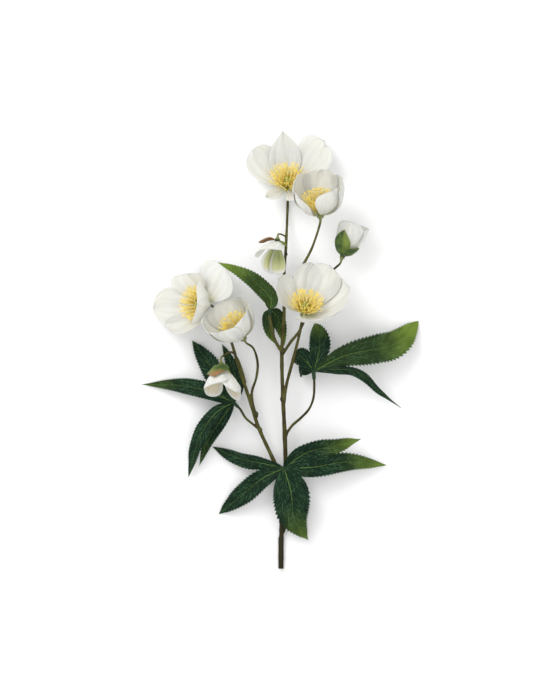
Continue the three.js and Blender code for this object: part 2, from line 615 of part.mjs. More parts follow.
function stem(stands) {
  const { radius: [footRadius], points: [[startX, startY]] } = STEMS[0];
  // The foot lies on one of its flat sides, which is at the height of the table.
  const halfTurn = Math.PI / STEM_SIDES;
  const foot = new THREE.CylinderGeometry(
    footRadius, footRadius, FOOT_LENGTH, STEM_SIDES, 1, false, halfTurn);
  foot.translate(startX, startY + FOOT_LENGTH / 2 - FOOT_START, footRadius * Math.cos(halfTurn));
  const branches = STEMS.flatMap((each) => stemPieces(each, stands));
  const knuckles = KNUCKLES.map(({ at, radius }) =>
    new THREE.SphereGeometry(radius, PEDICEL_SIDES, 4).rotateX(Math.PI / 2).translate(...at));
  return named('stem', fused([foot, ...branches, ...knuckles]), STEM);
}

// ---------- the spray ----------

const spray = new THREE.Group();
const stands = new Map();
for (const [specs, make, face, pin] of [
  [BLOOMS, bloom, RECEPTACLE_RADIUS, true],
  [BUDS, bud, COLLAR_RADIUS, false],
]) {
  for (const spec of specs) {
    const group = make(spec);
    group.userData = { face, pin };
    stands.set(spec.name, group);
    spray.add(group);
  }
}
spray.add(...LEAVES.map(leaf), stem(stands));

export default spray;
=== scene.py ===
"""Dresses a cut spray of white hellebore: sepals, stamens, carpels, buds, leaves and stem.

The spray lies face up on a table. The tables below give the plant's layout in millimetres,
in the row frame: +Z is up from the table and +Y runs from the cut end to the top blooms.
"""

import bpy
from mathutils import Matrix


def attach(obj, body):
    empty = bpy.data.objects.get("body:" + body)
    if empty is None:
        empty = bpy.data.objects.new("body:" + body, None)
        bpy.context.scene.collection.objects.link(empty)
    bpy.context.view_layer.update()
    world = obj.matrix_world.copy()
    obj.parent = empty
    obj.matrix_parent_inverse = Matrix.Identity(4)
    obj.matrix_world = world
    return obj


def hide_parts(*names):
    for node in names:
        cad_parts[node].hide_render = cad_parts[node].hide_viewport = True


bl_info = {
    "name": "Hellebore Spray",
    "version": (1, 0, 0),
    "blender": (4, 5, 0),
    "location": "3D View > Sidebar > Hellebore",
    "description": "Grows the sepals, stamens, buds, leaves and stem of a cut hellebore spray",
    "category": "Add Mesh",
}

from collections import namedtuple
from math import cos, pi, radians, sin

import bpy
import numpy as np
from bpy.props import FloatProperty, FloatVectorProperty, IntProperty, PointerProperty
from bpy.types import Operator, Panel, PropertyGroup
from mathutils import Matrix
from mathutils.kdtree import KDTree

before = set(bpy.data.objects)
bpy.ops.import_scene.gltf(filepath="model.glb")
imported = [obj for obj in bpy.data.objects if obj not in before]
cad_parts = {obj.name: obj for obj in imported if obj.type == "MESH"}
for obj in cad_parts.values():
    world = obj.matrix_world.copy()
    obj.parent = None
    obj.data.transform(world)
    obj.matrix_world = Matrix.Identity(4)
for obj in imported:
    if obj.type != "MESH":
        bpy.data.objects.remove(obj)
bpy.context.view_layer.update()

MM = 0.001

# ---------- how the spray is put together, in millimetres and degrees ----------

CLEARANCE = 0.3
LAYER_STEP = 1.35  # between one sepal and the next one that it overlaps
SOLID_SEPAL = 0.7  # the thickness that the layers are spaced for
SEPAL_ROOT_RADIUS = 2.2
SEPAL_ROOT_HEIGHT = CLEARANCE + SOLID_SEPAL / 2 + LAYER_STEP
BOSS_FOOT = SEPAL_ROOT_HEIGHT + LAYER_STEP + SOLID_SEPAL / 2 + CLEARANCE
BOSS_TOP = BOSS_FOOT + 2.6
BOWL_REACH = 36  # how far along a bowl's wall its slope turns from `open` to `close`
CLAW_SHARE = 0.06  # a sepal's width at its root, as a share of its widest
BULGE = 1.15  # how slowly it widens from there
FUSED_STRETCH = 6  # the length over which a bud's sepals part into their layers
BLEND = 4  # how sharply one sepal's slopes give way to the next one's
RECEPTACLE_RADIUS = 3.2
RECEPTACLE_DEPTH = 2.2
PIN_RADIUS = 2.5
COLLAR_RADIUS = 2.3
COLLAR_DEPTH = 0.8
BUD_FOOT = COLLAR_DEPTH + 2 * CLEARANCE
CORE_RADIUS = 2.4
CORE_LENGTH = 8
NECK = 3  # how far a stem runs straight into what it carries
FOOT_LENGTH = 26  # of the stem's straight cut end
FOOT_START = 8  # how far it reaches beyond the stem's first point
GOLDEN_ANGLE = radians(137.508)

# A sepal's place round the bloom, size, slopes and layer. `wave` is how far its rim ripples.
# Each of `notches` in its tip is (share of the half width, depth, half the notch's width), and
# a depth below 0 gives a lobe. A `loose` sepal leaves the bowl that the others share.
Sepal = namedtuple(
    "Sepal", "az length width open close layer round wave notches loose",
    defaults=(1.0, (), False))
Bloom = namedtuple("Bloom", "name base lean tilt spread reach sepals")
Bud = namedtuple("Bud", "name base lean tilt sepals bracts flush ages")
Root = namedtuple("Root", "radius height fused", defaults=(False,))
Leaf = namedtuple("Leaf", "name socket hub stub leaflets")
Leaflet = namedtuple("Leaflet", "rib width roll young swell taper", defaults=(0.0, 0.7, 0.95))
Stem = namedtuple("Stem", "carries radius brown points")

BLOOMS = [
    Bloom("bloom_top", (6.2, 133.2, 6.68), 90, 42, 56, 17, [
        Sepal(38, 48, 36, 14, 56, 1, 0.45, 0.9, [(-0.2, 3.0, 0.12)]),
        Sepal(97, 46.3, 27, 14, 58, 0, 1.2),
        Sepal(144, 41, 30, 14, 54, 1, 0.5, 0.9),
        Sepal(222, 23, 12, 6, 24, 0, 0.9),
        Sepal(308, 25, 30, 10, 42, -1, 0.5),
    ]),
    Bloom("bloom_upper_side", (32.4, 109.5, 46), 92, 57, 40, 18, [
        Sepal(12, 37, 31, 16, 106, 1, 0.5),
        Sepal(84, 39, 31, 14, 98, 0, 0.5),
        Sepal(148, 39, 28, 15, 102, 1, 0.5),
        Sepal(208, 34, 25, 12, 98, 0, 0.6),
        Sepal(308, 37, 31, 18, 106, -1, 0.5),
    ]),
    Bloom("bloom_centre", (18.9, 29.1, 38), 77, 48, 50, 16.5, [
        Sepal(18, 44, 35, 12, 68, 1, 0.5, 1.0),
        Sepal(65, 45, 31, 12, 68, 0, 0.45),
        Sepal(98, 42, 24, 12, 68, 1, 0.6),
        Sepal(164, 36, 30, 12, 74, 0, 0.5),
        Sepal(299, 40, 42, 6, 60, -1, 0.45),
    ]),
    Bloom("bloom_left", (-60.3, 37.3, 15.5), 175, 48, 52, 17, [
        Sepal(26, 29.5, 36, 14, 48, 0, 0.28, 1.0, [(-0.9, 7.0, 0.7), (0.8, -4.0, 0.4)]),
        Sepal(100, 43, 31, 12, 64, 1, 0.6),
        Sepal(162, 38, 34, 16, 80, 0, 0.5),
        Sepal(269, 33, 36, 6, 116, -1, 0.5),
        Sepal(332, 37.5, 45, 14, -13, 1, 0.75, loose=True),
    ]),
    Bloom("bloom_lower_side", (-30.3, 9.8, 34), 122, 54, 38, 18.5, [
        Sepal(14, 34, 31, 24, 104, 1, 0.5),
        Sepal(90, 34.5, 36, 20, 92, 0, 0.5),
        Sepal(151, 37, 31, 20, 90, 1, 0.5),
        Sepal(228, 36, 31, 22, 88, 0, 0.5, 1.0),
        Sepal(300, 34, 30, 24, 96, -1, 0.5),
    ]),
]

# `flush` is how green each sepal's inner face is, or how rosy where it is below 0, and
# `ages` is how far each bract has turned brown.
BUDS = [
    Bud("bud_upright", (50.6, 76.7, 22), 74, 82, [
        Sepal(22, 29, 25, 36, 103, 1, 0.4, 0.4),
        Sepal(165, 27, 23, 44, 114, 0, 0.5, 0.4),
        Sepal(266, 31, 23, 42, 112, 1, 0.6, 0.4),
    ], [
        Sepal(250, 26, 12.5, 44, 104, 1.4, 1.1, 0.2),
        Sepal(335, 15, 13, 38, 100, 1.4, 0.8, 0.2),
    ], (0.15, 0.15, 0.15), (0.05, 0.05)),
    Bud("bud_nodding_upper", (-2.5, 90.6, 31), 264, 66, [
        Sepal(70, 25, 15, 54, 100, 1, 0.5, 0.4),
        Sepal(118, 26, 17, 54, 98, 0, 0.5, 0.4),
        Sepal(306, 22, 28, 24, 84, 1, 0.5, 0.4),
    ], [
        Sepal(345, 15, 9, 14, 82, 1.6, 0.8, 0.2),
        Sepal(205, 9, 6, 46, 82, 1.6, 0.8, 0.2),
    ], (0.78, 0.78, 0.0), (1.2, 0.05)),
    Bud("bud_nodding_lower", (-48.4, -11.1, 40), 274, 68, [
        Sepal(305, 25.5, 24, 34, 92, 1, 0.5, 0.5),
        Sepal(230, 33, 20, 40, 82, 0, 0.75, 0.5),
        Sepal(37, 25, 20, 40, 92, 1, 0.5, 0.4),
        Sepal(138, 31, 15, 40, 82, 0, 0.75, 0.4),
    ], [
        Sepal(290, 22, 16, 40, 82, 2, 1.2, 0.2),
        Sepal(95, 14, 11, 40, 86, 2, 0.8, 0.2),
    ], (0.0, 0.0, -0.55, -0.55), (0.42, 0.05)),
]

# Leaflets follow a mid-rib of listed points; `roll` turns the blade about it, at the root and at
# the tip. `young` is how yellow-green the tip is, and what it has above 1 is how yellow-green the
# whole blade is.
LEAVES = [
    Leaf("leaf_lower", (3.7, -95.9, 12.2), (2.9, -96.5, 15.5), 1.6, [
        Leaflet([(-12.7, -92.8, 17), (-33.2, -88.8, 12), (-56, -79.4, 0.4)], 13, (-30, -20)),
        Leaflet([(-14.3, -104.5, 15), (-31, -118.5, 10), (-50.8, -134.8, 0.4)], 17, (-10, 10)),
        Leaflet([(8.6, -115.8, 15.5), (11.4, -138.2, 13.5), (22.9, -156.2, 6)], 29, (0, 10),
                0.55, 0.5, 1.15),
        Leaflet([(25.8, -95.9, 17), (55.3, -91.4, 13), (87.4, -94.5, 2.5)], 17, (-12, 10), 0.9,
                0.5),
        Leaflet([(20.9, -84, 19), (43.9, -78, 20), (65.9, -72.8, 14)], 18, (20, 30), 1.0, 0.5),
    ]),
    Leaf("leaf_right", (27.5, -23.4, 24), (27.1, -16.8, 26.5), 1.7, [
        Leaflet([(51.8, -4.6, 30), (77.7, 1.2, 24), (95, 5.8, 14), (113.8, 24.2, 0.37)], 23.5,
                (6, 0), 1.1, 0.95, 0.85),
        Leaflet([(47.1, -15.2, 30), (63.5, -17.6, 26), (82.4, -34.5, 15), (99, -47.3, 6)],
                10, (60, 20), 0.0, 0.75, 1.5),
        Leaflet([(31, -3.7, 24), (32.2, 8.6, 18), (28.4, 23.4, 9)], 17, (0, 0), 0.5),
        Leaflet([(20.9, -8.6, 22), (16, -4.4, 15), (11.5, -1.5, 7)], 15, (0, 10)),
        Leaflet([(23.4, -17, 22), (18.8, -16.3, 13), (15.6, -18.6, 5)], 12, (30, 20)),
    ]),
    Leaf("leaf_left", (-34.9, -46.3, 18), (-38.5, -42.6, 20), 1.5, [
        Leaflet([(-52.9, -51.2, 22), (-66, -70.9, 16), (-75.8, -104.2, 3)], 12.5, (20, 30)),
        Leaflet([(-47.6, -55.3, 17), (-59, -73.4, 11), (-66.8, -95, 4)], 11, (-10, 0), 0.2,
                0.6, 1.1),
        Leaflet([(-57.8, -34, 19), (-82.4, -28.8, 10), (-114.4, -27.9, 0.4)], 14, (10, 0),
                0.3, 0.6, 1.2),
        Leaflet([(-48.8, -29.1, 16), (-59, -11.1, 9), (-72.8, 8.2, 3)], 17, (0, 0)),
        Leaflet([(-35.4, -29.1, 12), (-40.4, -12.7, 8), (-48, 5.3, 4)], 11, (20, 20)),
    ]),
    Leaf("leaf_upper", (-8.5, 29, 28.4), (-8.4, 33.5, 28.8), 1.3, [
        Leaflet([(-8, 42, 29.5), (-16.8, 52.4, 32.5), (-29.6, 61.8, 37.5), (-50.8, 71.7, 42)],
                13.5, (0, 20), 1.2, 0.35, 0.9),
        Leaflet([(-9.9, 28.2, 23.4), (-8.6, 15, 17), (-3.5, 4.8, 15)], 10, (0, 0), 1.1, 0.4),
        Leaflet([(-3.2, 28.5, 20), (0.6, 18, 16.5), (3.3, 4, 15.5)], 11, (0, 0), 1.1, 0.4),
    ]),
]

# `brown` is how woody a stem's bark is, at its root and at its end.
STEMS = [
    Stem("bloom_top", (2.2, 1.05), (1.25, 0.4), [
        (0.4, -171.8, 2.35), (0.6, -159.5, 2.4), (1.1, -143.9, 3.6), (2.9, -118.5, 6.5),
        (4.1, -91.4, 9.3), (3.3, -65.2, 13), (2, -38.1, 17), (1.2, -16, 20), (1.2, 2, 22),
        (2.9, 29.1, 23), (2.9, 57.8, 21.5), (4.4, 84, 15), (5.4, 105.4, 7)]),
    Stem("bloom_left", (1.8, 1.05), (0.3, 0.4), [
        (3.1, -114.4, 6.8), (-2, -98.8, 8.5), (-7.8, -85.7, 10), (-17.9, -63.5, 13),
        (-26.4, -37.3, 17), (-34, -14.3, 20), (-40.3, 7, 19), (-45.5, 20.1, 16.5)]),
    Stem("bloom_lower_side", (1.3, 0.95), (0.6, 0.8), [
        (-19.3, -55.3, 14.5), (-23, -43, 16.5), (-23.4, -34, 18.5), (-19.7, -21.7, 21),
        (-18.8, -9.4, 23), (-22.4, 2, 25)]),
    Stem("bud_nodding_lower", (1.0, 0.85), (0.5, 0.6), [
        (-28.7, -26.6, 18.5), (-31.6, -16, 21), (-35.3, -6.6, 28), (-40.2, -1.2, 34)]),
    Stem("bloom_centre", (1.5, 1.2), (0.5, 0.8), [
        (2.6, -43.9, 16.5), (4.7, -29, 20.5), (9.8, -9.4, 27), (14, 7, 31)]),
    Stem("bud_upright", (1.3, 0.95), (0.4, 1.0), [
        (1.8, -3, 21.5), (8.4, 7, 23.5), (15.4, 15.8, 25.5), (23.4, 33.2, 26), (33.6, 51.2, 25),
        (42, 64.8, 23)]),
    Stem("bloom_upper_side", (1.25, 1.0), (0.15, 0.1), [
        (2.9, 38.9, 22.5), (5.3, 48.8, 24), (11.1, 59.4, 25.5), (18.9, 70.9, 30),
        (25.8, 84, 36)]),
    Stem("bud_nodding_upper", (0.9, 0.8), (0.3, 0.2), [
        (4.2, 77.5, 18.5), (5, 87, 22), (3.6, 93.6, 27)]),
    Stem("leaf_lower", (2.0, 1.7), (0.5, 0.2), [(4.2, -99.6, 8.2)]),
    Stem("leaf_upper", (1.5, 1.1), (0.4, 0.5), [
        (1.6, -1.2, 21.6), (-2.5, 4.5, 24), (-5.9, 12, 26), (-7.8, 21.7, 28)]),
    Stem("leaf_right", (1.2, 1.0), (0.8, 1.0), [
        (3.9, -70.1, 12.5), (9.4, -61.9, 14), (16.8, -55.3, 16), (23.4, -48, 18),
        (27, -38.9, 20.5)]),
    Stem("leaf_left", (1.1, 1.0), (0.6, 0.7), [
        (-16, -66, 12.5), (-22.5, -60.7, 13.5), (-28.7, -55.3, 15)]),
]

# Swellings where a branch leaves its stem: the centre and the radius.
KNUCKLES = [
    ((1.4, -148, 3.4), 2.75), ((2, -39.8, 16.8), 2.5), ((1.4, -0.4, 21.8), 2.3),
    ((3.9, -68.9, 12.6), 2.4), ((-20.1, -52.1, 14.9), 2.1), ((-16.8, -65.2, 12.8), 2.05),
    ((4.5, 79.1, 18), 1.5),
]


# ---------- settings ----------

def colour(name, description, default):
    return FloatVectorProperty(name=name, description=description, default=default,
                               subtype="COLOR", min=0, max=1)


def length(name, description, millimetres):
    return FloatProperty(name=name, description=description, default=millimetres * MM,
                         unit="LENGTH", min=0)


class SepalSettings(PropertyGroup):
    thickness: length("Thickness", "Thickness of a sepal at its middle", 0.4)
    crease: length("Crease", "Height of the lengthwise creases", 0.34)
    white: colour("White", "The sepals' own colour", (0.75, 0.755, 0.73))
    warm: colour("Warm white", "The cream that drifts over the white", (0.73, 0.70, 0.61))
    # Vein also darkens the sepals' broader folds, where it is painted shade in the creases.
    vein: colour("Vein", "The fine lengthwise veins", (0.53, 0.54, 0.48))
    claw: colour("Claw", "The green-gold flush round the stamens", (0.60, 0.58, 0.26))
    # Back dulls and darkens the root of each outer face: partly the sepals' own duller root,
    # partly painted shade.
    back: colour("Back", "The dull cream at the root of an outer face", (0.47, 0.47, 0.38))
    green: colour("Bud green", "The green inside a nodding bud", (0.30, 0.36, 0.07))
    rose: colour("Rose", "The rosy cream inside an ageing bud", (0.62, 0.50, 0.30))


class StamenSettings(PropertyGroup):
    count: IntProperty(name="Stamens", description="Stamens in one bloom", default=260, min=1)
    filament: length("Filament", "Radius of a filament at its root", 0.24)
    anther: length("Anther", "Length of an anther", 1.5)
    # Deep gold, and the carpel green below it, darken the filaments low down: partly their own
    # colour, partly painted shade in the bloom's cup.
    deep: colour("Deep gold", "Colour of the filaments low down", (0.80, 0.54, 0.05))
    gold: colour("Gold", "Colour of the anthers", (1.0, 0.74, 0.12))
    pale: colour("Pale", "Colour of the filaments", (1.0, 0.89, 0.40))
    green: colour("Green", "Colour of the carpels", (0.30, 0.40, 0.06))


class LeafSettings(PropertyGroup):
    thickness: length("Thickness", "Thickness of a blade", 0.45)
    tooth_pitch: length("Tooth pitch", "From one tooth of the edge to the next", 2.9)
    tooth_depth: length("Tooth depth", "From a tooth's foot to its tip", 1.8)
    vein_pitch: length("Vein pitch", "From one side vein to the next", 4.2)
    quilt: length("Quilt", "How far the blade bulges between its side veins", 0.22)
    blade: colour("Blade", "The upper side's dark green", (0.0024, 0.0100, 0.0060))
    light: colour("Light", "The lighter green that mottles it", (0.0050, 0.0195, 0.0100))
    young: colour("Young", "The yellow-green of new growth", (0.135, 0.21, 0.026))
    vein: colour("Vein", "The veins and their fine net", (0.052, 0.122, 0.054))
    fresh_vein: colour("Young vein", "The veins of new growth", (0.19, 0.29, 0.07))
    under: colour("Underside", "The paler lower side", (0.050, 0.095, 0.050))


class StemSettings(PropertyGroup):
    voxel: length("Voxel", "Grain at which the branches are grown together", 0.42)
    green: colour("Green", "The bark of young stems", (0.120, 0.122, 0.032))
    brown: colour("Brown", "The bark of older stems", (0.048, 0.037, 0.0125))
    dark: colour("Dark", "The streaks in the bark", (0.018, 0.015, 0.006))
    neck: colour("Neck", "The bark right under a bloom", (0.27, 0.29, 0.12))
    chestnut: colour("Chestnut", "Old bracts", (0.29, 0.16, 0.065))


class StageSettings(PropertyGroup):
    height: FloatProperty(name="Camera height", description="Height above the table",
                          default=4.0, unit="LENGTH")
    floor: colour("Table", "Colour of the table", (0.93, 0.93, 0.93))
    key: FloatProperty(name="Key light", description="Power of the softbox", default=13,
                       unit="POWER")
    fill: FloatProperty(name="Fill light", description="Power of the overhead panel",
                        default=18, unit="POWER")
    sky: FloatProperty(name="Room light", description="Strength of the light from all round",
                       default=0.78, subtype="FACTOR", min=0, max=1)


class SpraySettings(PropertyGroup):
    sepals: PointerProperty(type=SepalSettings)
    stamens: PointerProperty(type=StamenSettings)
    leaves: PointerProperty(type=LeafSettings)
    stems: PointerProperty(type=StemSettings)
    stage: PointerProperty(type=StageSettings)


# ---------- curves and frames ----------

def smoothstep(low, high, x):
    t = np.clip((x - low) / (high - low), 0, 1)
    return t * t * (3 - 2 * t)


def smooth_curve(points, samples=40):
    """A dense centripetal Catmull-Rom curve through the points."""
    p = np.array(points, float)
    p = np.vstack([2 * p[0] - p[1], p, 2 * p[-1] - p[-2]])
    t = np.linspace(0, 1, samples, endpoint=False)[:, None]
    spans = []
    for a, b, c, d in zip(p, p[1:], p[2:], p[3:]):
        da, db, dc = (max(np.linalg.norm(q - r) ** 0.5, 1e-4) for q, r in ((b, a), (c, b), (d, c)))
        start = ((b - a) / da - (c - a) / (da + db) + (c - b) / db) * db
        end = ((c - b) / db - (d - b) / (db + dc) + (d - c) / dc) * db
        spans.append(b + start * t + (3 * (c - b) - 2 * start - end) * t**2
                     + (2 * (b - c) + start + end) * t**3)
    return np.vstack([*spans, p[-2]])


def running_sum(steps):
    return np.concatenate([[0], np.cumsum(steps)])


def steps_along(points):
    return np.linalg.norm(np.diff(points, axis=0), axis=1)


def along_line(points, shares):
    """Points at shares of the line's length, and the directions there."""
    steps = steps_along(points)
    way = running_sum(steps) / steps.sum()
    at = lambda s: np.stack([np.interp(s, way, points[:, k]) for k in range(3)], -1)
    step = 0.004
    ahead = at(np.clip(shares + step, 0, 1)) - at(np.clip(shares - step, 0, 1))
    return at(shares), unit(ahead)


def unit(vectors):
    return vectors / np.linalg.norm(vectors, axis=-1, keepdims=True)


def stand(carried):
    """Moves points from a bloom's or bud's own frame, where its axis is +Z, to the row frame."""
    around = Matrix.Rotation(radians(carried.lean - 90), 3, "Z")
    turn = np.array(around @ Matrix.Rotation(-radians(carried.tilt), 3, "X"))
    base = np.array(carried.base, float)
    return lambda points: points @ turn.T + base


# ---------- meshes ----------

NEARLY_UPRIGHT = 0.9  # the rise of a direction that is too steep to be squared with +Z
POLE_SHARE = 0.96  # how far up an egg's last ring stands, as a share of a quarter turn
SHARP_ANGLE = 70  # edges that turn by more degrees than this are shaded as edges
STEM_SIDES, ROUND_SIDES, BOSS_SIDES = 14, 20, 24
FOOT_SIDES = 16  # of the stem's foot, the knuckles and the leaf stubs

Patch = namedtuple("Patch", "points faces place trait")


def patch(points, faces, place, trait):
    """`place` is in millimetres along and across a blade and a share across it, and `trait`
    is a share along it, a side or kind, and a tone. Both are read by the materials."""
    count = len(points)
    spread = lambda values: np.broadcast_to(np.asarray(values, float), (count, 3)).copy()
    return Patch(np.asarray(points, float), faces, spread(place), spread(trait))


def sheet(middle, thickness, place, share_along, tones, rib=0):
    """A thin closed sheet about a grid of points whose last row is its tip. Its underside
    stands out by `rib` as well."""
    rows, columns = middle.shape[:2]
    across = np.gradient(middle, axis=1)
    across[-1] = across[-2]
    normal = unit(np.cross(np.gradient(middle, axis=0), across))
    half = (thickness / 2)[..., None] * normal
    sides = [middle + half, middle - half - np.asarray(rib)[..., None] * normal]

    number = np.arange(rows * columns).reshape(rows, columns)
    number[-1] = number[-1, 0]
    count = number[-1, 0] + 1
    quads = np.stack([number[:-1, :-1], number[1:, :-1], number[1:, 1:], number[:-1, 1:]], -1)
    quads = quads.reshape(-1, 4)
    rim = np.concatenate([number[0], number[1:, -1], number[-2:0:-1, 0]])
    after = np.roll(rim, -1)
    edge = np.stack([rim, after, after + count, rim + count], -1)
    faces = np.vstack([quads, quads[:, ::-1] + count, edge]).tolist()
    faces = [face for face in map(lambda quad: list(dict.fromkeys(quad)), faces) if len(face) > 2]

    flat = lambda grid: grid.reshape(-1, grid.shape[-1])[:count]
    trait = [np.stack([share_along, np.full_like(share_along, side), tones], -1)
             for side in (1.0, 0.0)]
    return Patch(np.vstack([flat(side) for side in sides]), faces,
                 np.vstack([flat(place)] * 2), np.vstack([flat(side) for side in trait]))


def capped(rings, ends):
    """The points and faces of a skin over rings of points, closed by a point at each end."""
    count, sides = len(rings), len(rings[0])
    faces = []
    for k in range(count - 1):
        for j in range(sides):
            a, b = k * sides + j, k * sides + (j + 1) % sides
            faces.append((a, b, b + sides, a + sides))
    top, first, last = (count - 1) * sides, count * sides, count * sides + 1
    for j in range(sides):
        following = (j + 1) % sides
        faces.append((following, j, first))
        faces.append((top + j, top + following, last))
    return np.vstack([*rings, *ends]), faces


def tube(line, radii, sides, trait=(0, 0, 0), section=None):
    """A closed tube along a line of points. `section` scales its radius round the ring."""
    line = np.asarray(line, float)
    ahead = unit(np.gradient(line, axis=0))
    side = np.cross(ahead[0], (0, 0, 1) if abs(ahead[0][2]) < NEARLY_UPRIGHT else (0, 1, 0))
    rings = []
    turns = np.arange(sides) * 2 * pi / sides
    swell = np.ones(sides) if section is None else section(turns)
    for point, direction, radius in zip(line, ahead, radii):
        side = unit(side - direction * side.dot(direction))
        up = np.cross(direction, side)
        rings.append(point + radius * swell[:, None]
                     * (np.cos(turns)[:, None] * side + np.sin(turns)[:, None] * up))
    points, faces = capped(rings, (line[:1], line[-1:]))
    way = running_sum(steps_along(line))
    place = [np.stack([np.full(sides, w), turns * r, turns / pi - 1], -1)
             for w, r in zip(way, radii)]
    place = np.vstack([*place, [(0, 0, 0)], [(way[-1], 0, 0)]])
    return patch(points, faces, place, trait)


def graded(part, shares):
    """Gives a tube's rings their shares of its length as a trait."""
    sides = (len(part.points) - 2) // len(shares)
    part.trait[:, 0] = np.append(np.repeat(shares, sides), (0, 1))
    return part


def turned(profile, sides, trait=(0, 0, 0)):
    """A solid turned about +Z from a profile of (radius, height) that runs up."""
    turns = np.arange(sides) * 2 * pi / sides
    rings = [np.stack([r * np.cos(turns), r * np.sin(turns), np.full(sides, float(h))], -1)
             for r, h in profile]
    points, faces = capped(rings, [[(0, 0, profile[end][1])] for end in (0, -1)])
    place = np.stack([points[:, 2], points[:, 0], 0 * points[:, 0]], -1)
    return patch(points, faces, place, trait)


def egg(radius, half, middle, steps, sides, trait=(0, 0, 0)):
    """A closed egg about +Z that reaches `half` above and below its middle."""
    pole = pi / 2 * POLE_SHARE
    return turned([(radius * cos(a), middle + half * sin(a))
                   for a in np.linspace(-pole, pole, steps)], sides, trait)


def moved(part, move):
    return part._replace(points=move(part.points))


def joined(parts):
    points, faces, places, traits, start = [], [], [], [], 0
    for part in parts:
        points.append(part.points)
        faces.extend([[corner + start for corner in face] for face in part.faces])
        places.append(part.place)
        traits.append(part.trait)
        start += len(part.points)
    return Patch(np.vstack(points), faces, np.vstack(places), np.vstack(traits))


def write_attributes(mesh, place, trait):
    for name, values in (("place", place), ("trait", trait)):
        layer = mesh.attributes.new(name, "FLOAT_VECTOR", "POINT")
        layer.data.foreach_set("vector", np.ascontiguousarray(values, np.float32).ravel())


def mesh_of(name, part):
    mesh = bpy.data.meshes.new(name)
    mesh.from_pydata((part.points * MM).tolist(), [], part.faces)
    return mesh


def linked(name, data):
    """A new object, linked to the scene."""
    made = bpy.data.objects.new(name, data)
    bpy.context.scene.collection.objects.link(made)
    return made


def add_piece(looks, node, part, material):
    """Adds a patch as a smooth object that rides on the spray in place of its solid node."""
    name = f"{looks}_{node}"
    mesh = mesh_of(name, part)
    write_attributes(mesh, part.place, part.trait)
    mesh.materials.append(material)
    mesh.shade_smooth()
    mesh.set_sharp_from_angle(angle=radians(SHARP_ANGLE))
    mesh.update()
    piece = linked(name, mesh)
    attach(piece, "root")
    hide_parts(node)


# ---------- sepals ----------

def bowl_points(azimuth, distance, lift, whorl, root):
    """Points of the bowl that a whorl lies on, at distances along its wall from the root."""
    pull = np.exp(BLEND * (np.cos(azimuth[..., None] - np.radians([s.az for s in whorl])) - 1))
    pull /= pull.sum(-1, keepdims=True)
    start = (pull * np.radians([s.open for s in whorl])).sum(-1)
    bend = ((pull * np.radians([s.close for s in whorl])).sum(-1) - start) / BOWL_REACH
    slope = start + bend * distance
    r = root.radius + (np.sin(slope) - np.sin(start)) / bend - lift * np.sin(slope)
    h = root.height + (np.cos(start) - np.cos(slope)) / bend + lift * np.cos(slope)
    return np.stack([r * np.cos(azimuth), r * np.sin(azimuth), h], -1)


def sepal_outline(u, roundness):
    shape = lambda x: x**BULGE * (1 - x) ** roundness
    return shape(u) / shape(BULGE / (BULGE + roundness)) + CLAW_SHARE * (1 - u) ** 2


RIPPLES = ((3, 0.6), (7, 0.4))  # of the rim: how many go round it, and their share of the wave
RIM_STRETCH, RIM_CENTRE = 1.6, 0.35  # they are counted round this share of the length
CREASES, CREASE_DRIFT = 9, 1.2  # across a half width, in radians, and how far they wander
KEEL_WIDTH, KEEL_DEPTH = 0.10, 1.2  # a share of the half width, and so many creases deep
ROW_CROWDING = 1.7  # how much closer the rows stand at a sepal's tip
RIM_THINNING = 0.6


def sepal_relief(spec, u, v, draw, crease):
    """How far a sepal's surface stands off its bowl: a rippled rim, soft lengthwise creases
    and a keel down the middle."""
    rim = 1 - (1 - v**2) * (1 - u**4)
    margin = np.arctan2(v, RIM_STRETCH * (u - RIM_CENTRE))
    phases = draw.uniform(0, 2 * pi, 4)
    ripple = sum(size * np.sin(count * margin + phase)
                 for (count, size), phase in zip(RIPPLES, phases))
    drift = CREASE_DRIFT * np.sin(2.5 * u + phases[2])
    creases = np.sin(CREASES * v + drift + phases[3]) * np.sin(pi * u)
    keel = -np.exp(-((v / KEEL_WIDTH) ** 2)) * smoothstep(0.1, 0.5, u)
    return (spec.wave * ripple * rim**2 * smoothstep(0.3, 0.75, u)
            + crease * creases + KEEL_DEPTH * crease * keel)


def sepal(spec, whorl, root, grid, settings, draw, tone=None):
    """A sepal or bract of a whorl, as a thin sheet on the bowl that the whorl makes."""
    rows, columns = grid
    sepals = [spec] if spec.loose else [each for each in whorl if not each.loose]
    rows_share = 1 - (1 - np.linspace(0, 1, rows)) ** ROW_CROWDING
    u, v = np.meshgrid(rows_share, np.linspace(-1, 1, columns), indexing="ij")
    across = v * spec.width / 2 * sepal_outline(u, spec.round)
    along = root.radius + u * spec.length
    for centre, depth, spread in spec.notches:
        along = along - depth * u**6 * np.exp(-((across * 2 / spec.width - centre) / spread) ** 2)
    distance = np.hypot(along, across) - root.radius
    middle = radians(spec.az) + 0 * u
    rib = bowl_points(middle, distance, 0, sepals, root)
    turn = np.arctan2(across, along) * np.hypot(along, across) / np.hypot(rib[..., 0], rib[..., 1])
    spread = np.clip(distance / FUSED_STRETCH, 0, 1) if root.fused else 1
    relief = sepal_relief(spec, u, v, draw, settings.crease / MM)
    lift = relief - LAYER_STEP * spec.layer * spread
    points = bowl_points(middle + turn, distance, lift, sepals, root)
    rim = 1 - (1 - v**6) * (1 - u**12)
    thickness = settings.thickness / MM * (1 - RIM_THINNING * rim)
    place = np.stack([u * spec.length, across, v], -1)
    tones = np.full_like(u, draw.uniform() if tone is None else tone)
    return sheet(points, thickness, place, u, tones)


BLOOM_GRID = (44, 33)  # rows and columns of a sepal
BUD_GRID = (30, 23)


